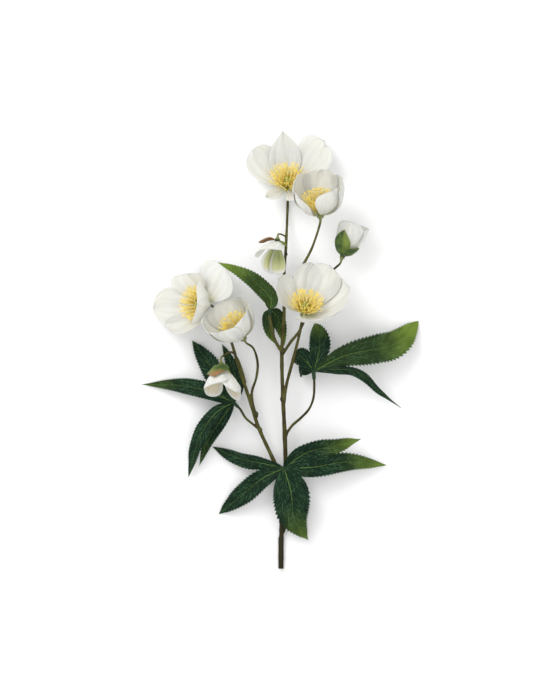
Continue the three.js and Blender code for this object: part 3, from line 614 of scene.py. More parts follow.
def build_bloom_sepals(bloom, settings, material):
    root = Root(SEPAL_ROOT_RADIUS, SEPAL_ROOT_HEIGHT)
    for k, spec in enumerate(bloom.sepals, 1):
        draw = np.random.default_rng([len(bloom.name), k, spec.az])
        part = sepal(spec, bloom.sepals, root, BLOOM_GRID, settings, draw)
        add_piece("white", f"{bloom.name}_sepal_{k}", moved(part, stand(bloom)), material)


# ---------- stamens and carpels ----------

INNER_LEAN = 14  # of the innermost stamens, in degrees from the bloom's axis
STAMEN_ROOTS = (2.6, 4.3)  # how far out the inner and the outer ones start
STAMEN_FOOT = BOSS_TOP - 0.9
SHORTEST = 0.62  # a stamen, as a share of the longest
AROUND_SCATTER, LEAN_SCATTER, NOD_SCATTER = 0.12, 4, 0.35  # in radians, degrees and radians
BOW = (1.25, 0.75)  # a filament's lean at its root and its end, as shares of its own
FILAMENT_TAPER = 0.35
FILAMENT_SIDES, ANTHER_SIDES, ANTHER_RADIUS = 5, 8, 0.37
ANTHER_LOBE = 0.28
STAMEN_STEPS = 7
BOSS_PROFILE = [
    (0.3, BOSS_FOOT - 1.2), (2.2, BOSS_FOOT - 1.2), (2.6, BOSS_FOOT), (4.3, BOSS_TOP - 1.0),
    (4.5, BOSS_TOP - 0.5), (3.6, BOSS_TOP), (1.6, BOSS_TOP + 0.2), (0.2, BOSS_TOP + 0.2)]


def stamen(k, bloom, settings, draw):
    """A filament that bows outward from the boss, with a two-lobed anther at its end."""
    share_out = (k + 0.5) / settings.count
    around = k * GOLDEN_ANGLE + draw.normal(0, AROUND_SCATTER)
    fan = (bloom.spread - INNER_LEAN) * share_out**0.5
    lean = radians(INNER_LEAN + fan + draw.normal(0, LEAN_SCATTER))
    reach = bloom.reach * (SHORTEST + (1 - SHORTEST) * draw.uniform())
    anther = settings.anther / MM * draw.uniform(0.85, 1.1)
    t = np.linspace(0, 1, STAMEN_STEPS)
    angles = lean * (BOW[0] - (BOW[0] - BOW[1]) * t)
    step = (reach - anther) / (len(t) - 1)
    out = running_sum(np.sin(angles[1:]) * step) + np.interp(share_out, (0, 1), STAMEN_ROOTS)
    up = running_sum(np.cos(angles[1:]) * step) + STAMEN_FOOT
    heading = np.array((cos(around), sin(around)))
    line = np.column_stack([out[:, None] * heading, up])
    tone = draw.uniform()
    radii = settings.filament / MM * (1 - FILAMENT_TAPER * t)
    thread = graded(tube(line, radii, FILAMENT_SIDES, (0, 0, tone)), t)

    pitch = lean * BOW[1] + draw.normal(0, NOD_SCATTER)
    nod = np.array((*(sin(pitch) * heading), cos(pitch)))
    spine = line[-1] + (t[:, None] - 0.12) * anther * nod
    lobes = lambda turns: 1 + ANTHER_LOBE * np.cos(2 * turns)
    fat = ANTHER_RADIUS * np.sqrt(np.clip(1 - (2 * t - 1) ** 2, 0.03, 1)) ** 0.7
    return [thread, tube(spine, fat, ANTHER_SIDES, (0.5, 1, tone), lobes)]


def build_stamens(bloom, settings, material):
    draw = np.random.default_rng([7, len(bloom.name), bloom.lean])
    parts = [turned(BOSS_PROFILE, BOSS_SIDES, (0, 0.5, 0.5))]
    for k in range(settings.count):
        parts.extend(stamen(k, bloom, settings, draw))
    part = moved(joined(parts), stand(bloom))
    add_piece("golden", bloom.name + "_stamens", part, material)


CARPELS = 5
CARPEL_LENGTH = 9.5
CARPEL_SIDES, CARPEL_STEPS = 10, 16
STYLE_RADIUS, POD_SWELL, STIGMA_SWELL = 0.28, 0.95, 0.12
CARPEL_FOOT = [(0.2, BOSS_TOP - 0.2), (2.1, BOSS_TOP - 0.2), (2.2, BOSS_TOP + 0.6),
               (1.6, BOSS_TOP + 1.4), (0.2, BOSS_TOP + 1.6)]


def build_carpels(bloom, material):
    """Plump pods that narrow into styles, which lean apart and curl outward at their tips."""
    parts = [turned(CARPEL_FOOT, ROUND_SIDES, (0, 0, 0.5))]
    t = np.linspace(0, 1, CARPEL_STEPS)
    for k in range(CARPELS):
        around = 2 * pi * (k + 0.4) / CARPELS
        heading = np.array((cos(around), sin(around)))
        out = 1.0 + 0.8 * np.sin(pi * t * 0.8) + 2.2 * t**4
        line = np.column_stack([out[:, None] * heading, BOSS_TOP + 0.4 + CARPEL_LENGTH * t])
        radii = STYLE_RADIUS + POD_SWELL * np.exp(-(((t - 0.24) / 0.20) ** 2))
        radii = radii + STIGMA_SWELL * smoothstep(0.93, 1, t)
        parts.append(graded(tube(line, radii, CARPEL_SIDES, (0, 1, 0.5)), t))
    part = moved(joined(parts), stand(bloom))
    add_piece("green", bloom.name + "_carpels", part, material)


# ---------- buds ----------

CORE_STEPS = 12
BUD_ROOT = Root(0.6, BUD_FOOT + 1.6, True)
BRACT_ROOT = Root(1, CLEARANCE + COLLAR_DEPTH / 2, True)
COLLAR_TOP = CLEARANCE + COLLAR_DEPTH
COLLAR_PROFILE = [
    (0.2, CLEARANCE - 0.2), (COLLAR_RADIUS - 0.2, CLEARANCE - 0.2),
    (COLLAR_RADIUS, CLEARANCE + 0.1), (COLLAR_RADIUS - 0.1, COLLAR_TOP), (0.2, COLLAR_TOP + 0.2)]


def build_bud(bud, settings, sepal_material, bract_material):
    """A bud's sepals, wrapped round its core, and the bracts on the collar below them."""
    draw = np.random.default_rng([11, len(bud.name), bud.lean])
    core = egg(CORE_RADIUS, CORE_LENGTH / 2, BUD_FOOT + CORE_LENGTH / 2, CORE_STEPS, ROUND_SIDES,
               (0, 1, 0))
    collar = turned(COLLAR_PROFILE, ROUND_SIDES)

    def add(looks, kind, middle, whorl, root, tones, material):
        blades = [sepal(each, whorl, root, BUD_GRID, settings, draw, tone)
                  for each, tone in zip(whorl, tones)]
        part = moved(joined([middle, *blades]), stand(bud))
        add_piece(looks, f"{bud.name}_{kind}", part, material)

    add("white", "sepals", core, bud.sepals, BUD_ROOT, bud.flush, sepal_material)
    add("leafy", "bracts", collar, bud.bracts, BRACT_ROOT, bud.ages, bract_material)


# ---------- leaves ----------

FOLD = 0.28  # how steeply the halves rise from the mid-rib
LEAFLET_ROOT = 0.07  # its root's width as a share of its widest
SWEEP = 0.42  # how far the side veins and teeth run forward, as a share of the half width
LEAFLET_COLUMNS = 27
ROWS_A_TOOTH = (0.0, 0.35, 0.7, 0.97)
TOOTH_FOOT = 0.65  # the share of a tooth that lies inside the blade's outline
TOOTHY_WIDTH = 22  # a narrower leaflet has shallower teeth
TOOTH_LIMIT = 0.25  # the deepest tooth, as a share of the half width
COLUMN_CROWDING = 1.25  # how much closer the columns stand at the mid-rib
WAVE_PITCH, WAVE_SHARE = 23, 0.035  # of a blade's edge: its length, and its share of the width
GROOVE_WIDTH, GROOVE_DEPTH = 0.55, 0.25
MIDRIB_WIDTH, MIDRIB_DEPTH = 0.75, 0.9
SIDE_RIB_DEPTH = 0.18
EDGE_THINNING = 0.5
STUB_STEPS = 12


def leaflet_outline(u, swell, taper):
    """The half width at shares of the length: `swell` is how soon it widens from its root,
    and `taper` how sharply it ends."""
    shape = lambda x: x**swell * (1 - x) ** taper
    widest = swell / (swell + taper)
    return shape(u) / shape(widest) + LEAFLET_ROOT * (1 - u)


def leaflet(spec, hub, settings, draw):
    """A blade that folds up from its mid-rib, quilted between side veins, with saw teeth."""
    curve = smooth_curve([hub, *spec.rib])
    reach = steps_along(curve).sum()
    teeth = round(reach * MM / settings.tooth_pitch)
    veins = reach * MM / settings.vein_pitch
    tooth, part = np.divmod(np.arange(teeth * len(ROWS_A_TOOTH)), len(ROWS_A_TOOTH))
    rise = np.array(ROWS_A_TOOTH)[part]
    u_rows = np.append((tooth + rise) / teeth, 1.0)
    rise = np.append(rise, 1.0)
    crowd = np.linspace(-1, 1, LEAFLET_COLUMNS)
    u, v = np.meshgrid(u_rows, np.sign(crowd) * abs(crowd) ** COLUMN_CROWDING,
                       indexing="ij")

    half = spec.width / 2 * leaflet_outline(u, spec.swell, spec.taper)
    toothed = smoothstep(0.12, 0.3, u) * smoothstep(1.0, 0.9, u)
    deepest = settings.tooth_depth / MM * min(1, spec.width / TOOTHY_WIDTH)
    depth = np.minimum(deepest, TOOTH_LIMIT * half) * toothed
    reach_out = half + depth * (rise[:, None] - TOOTH_FOOT) * v**4
    ahead = SWEEP * half * v**2 * smoothstep(1.0, 0.85, u)
    s = np.clip(u + ahead / reach, 0, 1)
    centre, direction = along_line(curve, s)
    level = unit(np.cross((0, 0, 1), direction))
    roll = np.radians(spec.roll[0] + (spec.roll[1] - spec.roll[0]) * s)[..., None]
    square = np.cross(direction, level)
    side = np.cos(roll) * level + np.sin(roll) * square
    up = np.cross(direction, side)

    across = v * reach_out
    wobble = draw.uniform(0, 2 * pi, 2)[0]
    body = smoothstep(0.02, 0.2, u) * smoothstep(1.0, 0.85, u)
    between = np.sin(pi * u * veins) ** 2 * (abs(v) * (1 - abs(v)) * 4) ** 0.7
    beat = 2 * pi * u * reach / WAVE_PITCH
    wave = np.sin(beat + np.sign(v) * 0.9 + wobble) * abs(v) ** 2.5
    lift = FOLD * half * (1.35 * abs(v) - 0.35 * v**2)
    lift = lift + body * (settings.quilt / MM * between + WAVE_SHARE * spec.width * wave)
    groove = np.exp(-((across / GROOVE_WIDTH) ** 2))
    lift = lift - GROOVE_DEPTH * groove * (1 - u)
    points = centre + across[..., None] * side + lift[..., None] * up

    thickness = settings.thickness / MM * (1 - EDGE_THINNING * v**8)
    midrib = MIDRIB_DEPTH * (1 - 0.8 * u) * np.exp(-((across / MIDRIB_WIDTH) ** 2))
    side_ribs = SIDE_RIB_DEPTH * body * (1 - abs(v)) * np.cos(pi * u * veins) ** 12
    place = np.stack([u * reach, across, v], -1)
    tone = np.full_like(u, spec.young)
    return sheet(points, thickness, place, u, tone, midrib + side_ribs)


def build_leaf(leaf, settings, material):
    """A leaf: its leaflets, and the short stub that they spring from."""
    socket, hub = np.array(leaf.socket, float), np.array(leaf.hub, float)
    outward = unit(hub - socket)
    line = np.linspace(socket + 0.1 * outward, hub + 0.7 * leaf.stub * outward, STUB_STEPS)
    t = np.linspace(0, 1, STUB_STEPS)
    round_end = np.sqrt(np.clip(1 - ((t - 0.8) / 0.22) ** 2 * (t > 0.8), 0.05, 1))
    radii = leaf.stub * (0.85 + 0.25 * t) * round_end
    draw = np.random.default_rng([17, len(leaf.name), len(leaf.leaflets)])
    parts = [tube(line, radii, FOOT_SIDES, (0, 0.5, 0)),
             *[leaflet(each, leaf.hub, settings, draw) for each in leaf.leaflets]]
    add_piece("serrated", leaf.name, joined(parts), material)


# ---------- the stem ----------

STEM_STEP, FEWEST_STEPS = 1.6, 6  # between the rings of a stem, and the fewest of them
NECK_LENGTH = 7  # how far below a bloom its stem turns pale
FOOT_STEPS = 8
FOOT_CORNERS = 8  # of the solid's foot, which lies on one of its flats
FOOT_BROWN, FOOT_BROWN_STEPS = 1.3, 6  # the darkest bark, and how far up the foot it reaches
CUT_FACE = (0.45, 0.1)  # how far up from the cut end its pale face fades out and is full
BARK_SPREAD = 2  # how many millimetres of bark one radian round a stem stands for
KNUCKLE_STRETCH, KNUCKLE_STEPS = 1.1, 9
STANDS = {each.name: each for each in [*BLOOMS, *BUDS]}
STALKED = {leaf.name: leaf for leaf in LEAVES}


def stem_line(stem):
    """The curve of a stem, through its points and into the neck of what it carries."""
    if stem.carries in STANDS:
        move = stand(STANDS[stem.carries])
        ends = move(np.array([(0, 0, -RECEPTACLE_DEPTH - NECK), (0, 0, -RECEPTACLE_DEPTH)]))
    else:
        leaf = STALKED[stem.carries]
        socket, hub = np.array(leaf.socket, float), np.array(leaf.hub, float)
        ends = [socket + unit(socket - hub) * (NECK if len(stem.points) > 1 else 1), socket]
    return smooth_curve([*stem.points, *ends])


def receptacle(carried, thin):
    """The cup that a bloom or bud sits on. A bloom's has a pin that reaches into its boss."""
    face = RECEPTACLE_RADIUS if carried in BLOOMS else COLLAR_RADIUS
    foot = -RECEPTACLE_DEPTH - 2
    cup = [(0.2, foot), (thin, foot), (thin * 1.1, foot + 1.2), (face * 0.72, -1.3),
           (face * 0.95, -0.5), (face, -0.1), (face - 0.3, 0.1)]
    pin = [(PIN_RADIUS, 0.2), (PIN_RADIUS, BOSS_FOOT - 1), (0.2, BOSS_FOOT - 1)]
    cup += pin if carried in BLOOMS else [(0.2, 0.15)]
    return moved(turned(cup, ROUND_SIDES), stand(carried))


def stem_parts(stem):
    """The closed solids of a stem, and its trail: points with their way, brown and neck."""
    curve = stem_line(stem)
    reach = steps_along(curve).sum()
    steps = max(FEWEST_STEPS, round(reach / STEM_STEP))
    t = np.linspace(0, 1, steps)
    line, _ = along_line(curve, t)
    thick, thin = stem.radius
    uneven = 1 + 0.05 * np.sin(t * steps * 0.31 + thick * 9) + 0.03 * np.sin(t * steps * 0.83)
    radii = (thick + (thin - thick) * t) * uneven
    parts = [tube(line, radii, STEM_SIDES)]
    if stem.carries in STANDS:
        parts.append(receptacle(STANDS[stem.carries], thin))
    brown = stem.brown[0] + (stem.brown[1] - stem.brown[0]) * t
    way = t * reach
    neck = smoothstep(NECK_LENGTH, 0, way[-1] - way) * (stem.carries in STANDS)
    return parts, list(zip(line, way, brown, neck))


def knuckle(centre, radius):
    """A swelling of the stem, stretched along +Y."""
    swelling = egg(radius, radius * KNUCKLE_STRETCH, 0, KNUCKLE_STEPS, FOOT_SIDES)
    turn = np.array(Matrix.Rotation(-pi / 2, 3, "X"))
    return moved(swelling, lambda points: points @ turn.T + np.array(centre, float))


def grown_together(part, voxel):
    """One skin over closed solids that cross, smoothed where they meet."""
    mesh = mesh_of("stem_parts", part)
    rough = linked("stem_parts", mesh)
    remesh = rough.modifiers.new("grow", "REMESH")
    remesh.mode = "VOXEL"
    remesh.voxel_size = voxel
    smooth = rough.modifiers.new("smooth", "SMOOTH")
    smooth.factor, smooth.iterations = 0.5, 5
    skin = bpy.data.meshes.new_from_object(
        rough.evaluated_get(bpy.context.evaluated_depsgraph_get()))
    bpy.data.objects.remove(rough)
    bpy.data.meshes.remove(mesh)
    return skin


def build_stem(settings, material):
    """The stem and its branches as one skin, coloured by the nearest point of the trail."""
    parts, trail = [], []
    for stem in STEMS:
        added, steps = stem_parts(stem)
        parts += added
        trail += steps
    foot_radius, (start_x, start_y, _) = STEMS[0].radius[0], STEMS[0].points[0]
    foot_start = start_y - FOOT_START
    foot_height = foot_radius * cos(pi / FOOT_CORNERS)
    foot = [(start_x, foot_start + k * FOOT_LENGTH / FOOT_STEPS, foot_height)
            for k in range(FOOT_STEPS + 1)]
    parts.append(tube(foot, [foot_radius] * len(foot), FOOT_SIDES))
    trail += [(np.array(point), 0, FOOT_BROWN, 0) for point in foot[:FOOT_BROWN_STEPS]]
    parts += [knuckle(*each) for each in KNUCKLES]
    skin = grown_together(joined(parts), settings.voxel)

    tree = KDTree(len(trail))
    for k, (point, *_) in enumerate(trail):
        tree.insert(point, k)
    tree.balance()
    points = np.empty(len(skin.vertices) * 3, np.float32)
    skin.vertices.foreach_get("co", points)
    points = points.reshape(-1, 3) / MM
    nearest = [tree.find(point)[1] for point in points]
    offset = points - np.array([trail[k][0] for k in nearest])
    way, tone, neck = np.array([trail[k][1:] for k in nearest]).T
    around = np.arctan2(offset[:, 2], offset[:, 0])
    knots = np.array([centre for centre, _ in KNUCKLES])
    near_knot = np.linalg.norm(points[:, None] - knots[None], axis=-1).min(-1)
    cut_end = smoothstep(*CUT_FACE, points[:, 1] - foot_start)
    place = np.stack([way, around * BARK_SPREAD, near_knot], -1)
    write_attributes(skin, place, np.stack([cut_end, neck, tone], -1))
    skin.materials.clear()
    skin.materials.append(material)
    skin.shade_smooth()
    piece = linked("branched_stem", skin)
    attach(piece, "root")
    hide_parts("stem")


# ---------- shader nodes ----------

class Wiring:
    """Adds nodes to a tree and feeds their inputs with sockets or plain values."""

    def __init__(self, tree):
        self.tree = tree

    def node(self, kind, inputs=None, output=0, **settings):
        made = self.tree.nodes.new(kind)
        for name, value in settings.items():
            setattr(made, name, value)
        for key, value in (inputs or {}).items():
            self.feed(made.inputs[key], value)
        return made.outputs[output]

    def feed(self, socket, value):
        if isinstance(value, bpy.types.NodeSocket):
            self.tree.links.new(value, socket)
        elif socket.type == "RGBA":
            socket.default_value = (*value, 1)
        else:
            socket.default_value = value

    def math(self, operation, a, b=0.0, clamp=False):
        return self.node("ShaderNodeMath", {0: a, 1: b}, operation=operation, use_clamp=clamp)

    def times(self, a, b):
        return self.math("MULTIPLY", a, b)

    def mix(self, factor, a, b):
        return self.node("ShaderNodeMix", {0: factor, 6: a, 7: b}, 2, data_type="RGBA")

    def wash(self, tint, colour, mask, share):
        """Lays a colour over a tint, as strongly as the mask times the share."""
        return self.mix(self.times(mask, share), tint, colour)

    def ramp(self, value, low, high, to_low=0.0, to_high=1.0):
        return self.node("ShaderNodeMapRange", {
            "Value": value, "From Min": low, "From Max": high, "To Min": to_low,
            "To Max": to_high}, interpolation_type="SMOOTHSTEP")

    def fall(self, value, low, high):
        return self.ramp(value, low, high, 1.0, 0.0)

    def flat(self, x, y):
        return self.node("ShaderNodeCombineXYZ", {0: x, 1: y})

    def split(self, vector):
        made = self.tree.nodes.new("ShaderNodeSeparateXYZ")
        self.feed(made.inputs[0], vector)
        return made.outputs

    def attribute(self, name):
        return self.node("ShaderNodeAttribute", output="Vector", attribute_name=name)

    def noise(self, vector, scale, detail=2.0, roughness=0.5):
        return self.node("ShaderNodeTexNoise", {
            "Vector": vector, "Scale": scale, "Detail": detail, "Roughness": roughness})

    def group(self, tree, inputs):
        return self.node("ShaderNodeGroup", inputs, node_tree=tree)

    def lines(self, place, spacing, stretch):
        return self.group(lengthwise_lines(), {
            "Place": place, "Spacing": spacing, "Stretch": stretch})

    def blotches(self, place, size):
        return self.group(soft_blotches(), {"Place": place, "Size": size})


def effect(name, inputs, outputs, fill):
    """A shader node group. `inputs` gives each input's default, which a vector doesn't have,
    and `fill` takes the group's wiring and inputs, and gives its outputs."""
    known = bpy.data.node_groups.get(name)
    if known:
        return known
    tree = bpy.data.node_groups.new(name, "ShaderNodeTree")
    for label, default in inputs.items():
        kind = "NodeSocketVector" if default is None else "NodeSocketFloat"
        socket = tree.interface.new_socket(label, in_out="INPUT", socket_type=kind)
        if default is not None:
            socket.default_value = default
    for label in outputs:
        tree.interface.new_socket(label, in_out="OUTPUT", socket_type="NodeSocketFloat")
    wiring = Wiring(tree)
    given = tree.nodes.new("NodeGroupInput").outputs
    taken = tree.nodes.new("NodeGroupOutput").inputs
    for socket, value in zip(taken, fill(wiring, given)):
        wiring.feed(socket, value)
    return tree


VEIN_FAN = 15.0  # a sepal's veins fan out as if its half width were this many millimetres
VEIN_SLANT = 1.5  # how far a leaf's side vein runs forward for each millimetre out


def lengthwise_lines():
    """Fine lines that run along a blade or stem and waver a little."""
    def fill(wiring, given):
        along, across, _ = wiring.split(given["Place"])
        lengthened = wiring.flat(wiring.times(along, given["Stretch"]),
                                 wiring.math("DIVIDE", across, given["Spacing"]))
        fine = wiring.noise(lengthened, 1.0, 3.0, 0.6)
        return [wiring.ramp(fine, 0.35, 0.65), fine]
    return effect("Lengthwise lines", {"Place": None, "Spacing": 1.0, "Stretch": 0.05},
                  ["Line", "Height"], fill)


def soft_blotches():
    """Broad soft patches, whose size is in the unit of the place."""
    def fill(wiring, given):
        scale = wiring.math("DIVIDE", 1.0, given["Size"])
        where = wiring.node("ShaderNodeVectorMath", {0: given["Place"], 3: scale},
                            operation="SCALE")
        return [wiring.ramp(wiring.noise(where, 1.0, 3.0), 0.38, 0.62)]
    return effect("Soft blotches", {"Place": None, "Size": 10.0}, ["Patch"], fill)


def leaf_veins():
    """The mid-rib, the side veins that slant forward from it, and the long net between."""
    def fill(wiring, given):
        along, across, edge = wiring.split(given["Place"])
        away = wiring.math("ABSOLUTE", across)
        back = wiring.math("SUBTRACT", along, wiring.times(away, VEIN_SLANT))
        waver = wiring.ramp(wiring.noise(given["Place"], 0.16), 0.2, 0.8, -1.0, 1.0)
        wavy = wiring.math("ADD", back, waver)
        beat = wiring.math("DIVIDE", wavy, given["Pitch"])
        within = wiring.math("FRACT", wiring.math("ADD", beat, 0.5))
        off = wiring.math("ABSOLUTE", wiring.math("SUBTRACT", within, 0.5))
        fade = wiring.fall(wiring.math("ABSOLUTE", edge), 0.45, 0.98)
        cells = wiring.node("ShaderNodeTexVoronoi", {
            "Vector": wiring.flat(wavy, wiring.times(across, 0.55)), "Scale": given["Net"]},
            feature="DISTANCE_TO_EDGE")
        return [wiring.fall(away, 0.15, 0.6), wiring.times(wiring.fall(off, 0.02, 0.13), fade),
                wiring.fall(cells, 0.01, 0.09)]
    return effect("Leaf veins", {"Place": None, "Pitch": 5.0, "Net": 0.8},
                  ["Rib", "Side", "Net"], fill)


class Coat(Wiring):
    """A new material's wiring, round one Principled BSDF with plain values on its sockets."""

    def __init__(self, name, roughness, **plain):
        self.material = bpy.data.materials.new(name)
        self.material.use_nodes = True
        super().__init__(self.material.node_tree)
        self.shader = self.tree.nodes["Principled BSDF"]
        self.shader.inputs["Roughness"].default_value = roughness
        for label, value in plain.items():
            self.shader.inputs[label.replace("_", " ")].default_value = value

    def dress(self, tint, height, strength, depth):
        """Gives the material its colour and a relief, `depth` metres deep at full strength."""
        self.feed(self.shader.inputs["Base Color"], tint)
        self.feed(self.shader.inputs["Normal"], self.node("ShaderNodeBump", {
            "Height": height, "Strength": strength, "Distance": depth}))
        return self.material


def tissue(name, settings, inner_flush):
    """White tissue with cream drifts and fine lengthwise veins. Its broader folds are darkened
    with the vein colour, as painted shade in the creases over their bump, and its outer face turns
    a dull cream towards the root, partly the tissue's own duller root and partly painted shade.
    `inner_flush` takes the wiring, the traits, the place and the lines, and gives the inner face's
    flush and how strong it is."""
    wiring = Coat(
        name, 0.55, Subsurface_Weight=0.5, Subsurface_Radius=(1.0, 0.95, 0.8),
        Subsurface_Scale=0.002, Specular_IOR_Level=0.25)
    place = wiring.attribute("place")
    along, inner, _ = traits = wiring.split(wiring.attribute("trait"))
    reach, _, spread = wiring.split(place)
    fan = wiring.flat(reach, wiring.times(spread, VEIN_FAN))
    lines, folds = wiring.lines(fan, 0.8, 0.03), wiring.lines(fan, 3.5, 0.015)
    tint = wiring.wash(settings.white, settings.warm, wiring.blotches(place, 13.0), 0.35)
    tint = wiring.wash(tint, settings.vein, lines, 0.42)
    # painted shade: the broader folds are darkened like shaded creases
    tint = wiring.wash(tint, settings.vein, folds, 0.30)
    flush, strength = inner_flush(wiring, traits, place, lines)
    front = wiring.mix(strength, tint, flush)
    # partly painted shade: the outer face darkens towards its root
    back = wiring.wash(tint, settings.back, wiring.fall(along, 0.10, 0.62), 0.75)
    relief = wiring.math("ADD", lines.node.outputs["Height"], folds.node.outputs["Height"])
    return wiring.dress(wiring.mix(inner, back, front), relief, 0.8, 0.0006)


def sepal_material(settings):
    """An open bloom's sepal, with a green-gold flush round the stamens."""
    def claw(wiring, traits, *_):
        return settings.claw, wiring.times(wiring.fall(traits[0], 0.04, 0.34), 0.55)
    return tissue("Hellebore white", settings, claw)


def bud_material(settings):
    """A bud's sepal: green or rosy inside, with darker veins and a white margin."""
    def deep(wiring, traits, place, lines):
        along, _, tone = traits
        edge = wiring.math("ABSOLUTE", wiring.split(place)[2])
        middle = wiring.times(wiring.fall(edge, 0.62, 0.92), wiring.fall(along, 0.80, 0.96))
        green = wiring.mix(wiring.ramp(along, 0.35, 0.95), settings.green, settings.claw)
        green = wiring.wash(green, settings.green, lines, 0.45)
        flush = wiring.mix(wiring.ramp(tone, -0.1, 0.1), settings.rose, green)
        return flush, wiring.times(middle, wiring.math("ABSOLUTE", tone))
    return tissue("Bud white", settings, deep)


def stamen_material(settings):
    """Golden filaments that turn green and darker at their roots, partly their own colour and
    partly painted shade from the cup round them, and paler anthers dusted with pollen.
    """
    wiring = Coat(
        "Stamen gold", 0.6, Subsurface_Weight=0.2, Subsurface_Radius=(1.0, 0.7, 0.3),
        Subsurface_Scale=0.001, Specular_IOR_Level=0.25)
    place = wiring.attribute("place")
    along, kind, tone = wiring.split(wiring.attribute("trait"))
    # partly painted shade: the filaments darken to deep gold and green towards their roots
    root = wiring.mix(wiring.ramp(along, 0.1, 0.5), settings.green, settings.deep)
    filament = wiring.mix(wiring.ramp(along, 0.3, 1.0), root, settings.pale)
    dust = wiring.noise(place, 2.5, 2.0)
    anther = wiring.wash(settings.gold, settings.pale, wiring.ramp(dust, 0.35, 0.65), tone)
    boss = wiring.mix(wiring.ramp(kind, 0.2, 0.5), filament, settings.green)
    return wiring.dress(wiring.mix(wiring.ramp(kind, 0.6, 0.9), boss, anther), dust, 0.6, 0.0002)


def carpel_material(settings):
    """Green pods whose styles pale towards their tips."""
    wiring = Coat(
        "Carpel green", 0.45, Subsurface_Weight=0.2, Subsurface_Radius=(0.8, 1.0, 0.3),
        Subsurface_Scale=0.001, Specular_IOR_Level=0.3)
    along, _, _ = wiring.split(wiring.attribute("trait"))
    lines = wiring.lines(wiring.attribute("place"), 0.5, 0.1)
    tint = wiring.mix(wiring.ramp(along, 0.35, 0.95), settings.green, settings.pale)
    tint = wiring.wash(tint, settings.pale, lines, 0.3)
    return wiring.dress(tint, lines, 0.3, 0.0002)


def leaf_material(settings):
    """Dark leathery green: mottled, netted with pale veins, yellow-green where it is young,
    and paler underneath."""
    wiring = Coat("Leaf green", 0.45, Specular_IOR_Level=0.07)
    place = wiring.attribute("place")
    along, upper, young = wiring.split(wiring.attribute("trait"))
    veins = wiring.group(leaf_veins(), {
        "Place": place, "Pitch": settings.vein_pitch / MM, "Net": 0.5})
    rib, side_veins, net = veins.node.outputs
    patches = wiring.blotches(place, 11.0)
    tint = wiring.wash(settings.blade, settings.light, wiring.blotches(place, 3.0), 0.6)
    reach = wiring.math("ADD", along, wiring.times(patches, 0.08))
    tip = wiring.times(wiring.ramp(reach, 0.50, 1.12), young)
    whole = wiring.math("SUBTRACT", young, 1.0, clamp=True)
    fresh = wiring.math("ADD", tip, whole, clamp=True)
    tint = wiring.mix(fresh, tint, settings.young)
    pale = wiring.mix(fresh, settings.vein, settings.fresh_vein)
    tint = wiring.wash(tint, pale, net, wiring.ramp(patches, 0.0, 1.0, 0.35, 0.80))
    tint = wiring.wash(tint, pale, side_veins, 0.42)
    near_hub = wiring.ramp(along, 0.0, 0.6, 0.85, 0.18)
    tint = wiring.wash(tint, settings.fresh_vein, rib, near_hub)
    tint = wiring.wash(tint, settings.under, wiring.math("SUBTRACT", 1.0, upper), 0.75)
    fine = wiring.noise(place, 1.6, 3.0)
    wiring.feed(wiring.shader.inputs["Roughness"], wiring.ramp(fine, 0.3, 0.7, 0.38, 0.60))
    relief = wiring.math("ADD", wiring.times(net, -0.7), fine)
    return wiring.dress(tint, relief, 0.6, 0.0004)


def bract_material(leaves, stems, sepals):
    """Leafy green outside, with painted light that makes one side of the outer face a lighter
    yellow-green, and yellow-green inside, with lengthwise veins. Bracts turn chestnut brown with
    age, from their tips on."""
    wiring = Coat("Bract green", 0.45, Specular_IOR_Level=0.2)
    place = wiring.attribute("place")
    along, inner, age = wiring.split(wiring.attribute("trait"))
    lines = wiring.lines(place, 0.9, 0.05)
    mottle = wiring.ramp(wiring.blotches(place, 5.0), 0.0, 1.0, 0.25, 0.6)
    # painted light: one side of each bract's outer face is washed lighter yellow-green, as if lit
    painted_light_side = wiring.times(wiring.ramp(wiring.split(place)[2], -0.1, 0.3),
                          wiring.ramp(along, 0.1, 0.7))
    outer = wiring.mix(mottle, leaves.light, leaves.young)
    outer = wiring.wash(outer, sepals.green, painted_light_side, 0.55)
    tint = wiring.wash(outer, sepals.green, inner, 0.8)
    tint = wiring.wash(tint, leaves.vein, lines, 0.35)
    past = wiring.math("SUBTRACT", along, wiring.math("SUBTRACT", 0.95, age))
    tint = wiring.mix(wiring.ramp(past, 0.0, 0.3), tint, stems.chestnut)
    return wiring.dress(tint, lines.node.outputs["Height"], 0.5, 0.0003)


def stem_material(settings):
    """Bark that turns from olive green to brown, streaked along its length."""
    wiring = Coat("Stem bark", 0.55, Specular_IOR_Level=0.12)
    place = wiring.attribute("place")
    cut, neck, brown = wiring.split(wiring.attribute("trait"))
    where = wiring.node("ShaderNodeTexCoord", output="Object")
    streaks = wiring.lines(place, 0.5, 0.12)
    patches = wiring.blotches(where, 0.009)
    tone = wiring.math("ADD", brown, wiring.ramp(patches, 0.0, 1.0, -0.25, 0.25), clamp=True)
    tint = wiring.mix(tone, settings.green, settings.brown)
    tint = wiring.wash(tint, settings.dark, streaks, 0.35)
    knot = wiring.ramp(wiring.split(place)[2], 2.2, 3.6, 0.6, 0.0)
    tint = wiring.wash(tint, settings.dark, knot, patches)
    tint = wiring.mix(wiring.ramp(brown, 1.0, FOOT_BROWN, 0.0, 0.85), tint, settings.dark)
    tint = wiring.mix(cut, tint, settings.green)
    tint = wiring.wash(tint, settings.neck, neck, 0.7)
    return wiring.dress(tint, streaks.node.outputs["Height"], 0.6, 0.0004)


TABLE_MOTTLE = 0.97  # the darker patches' share of the table's own brightness


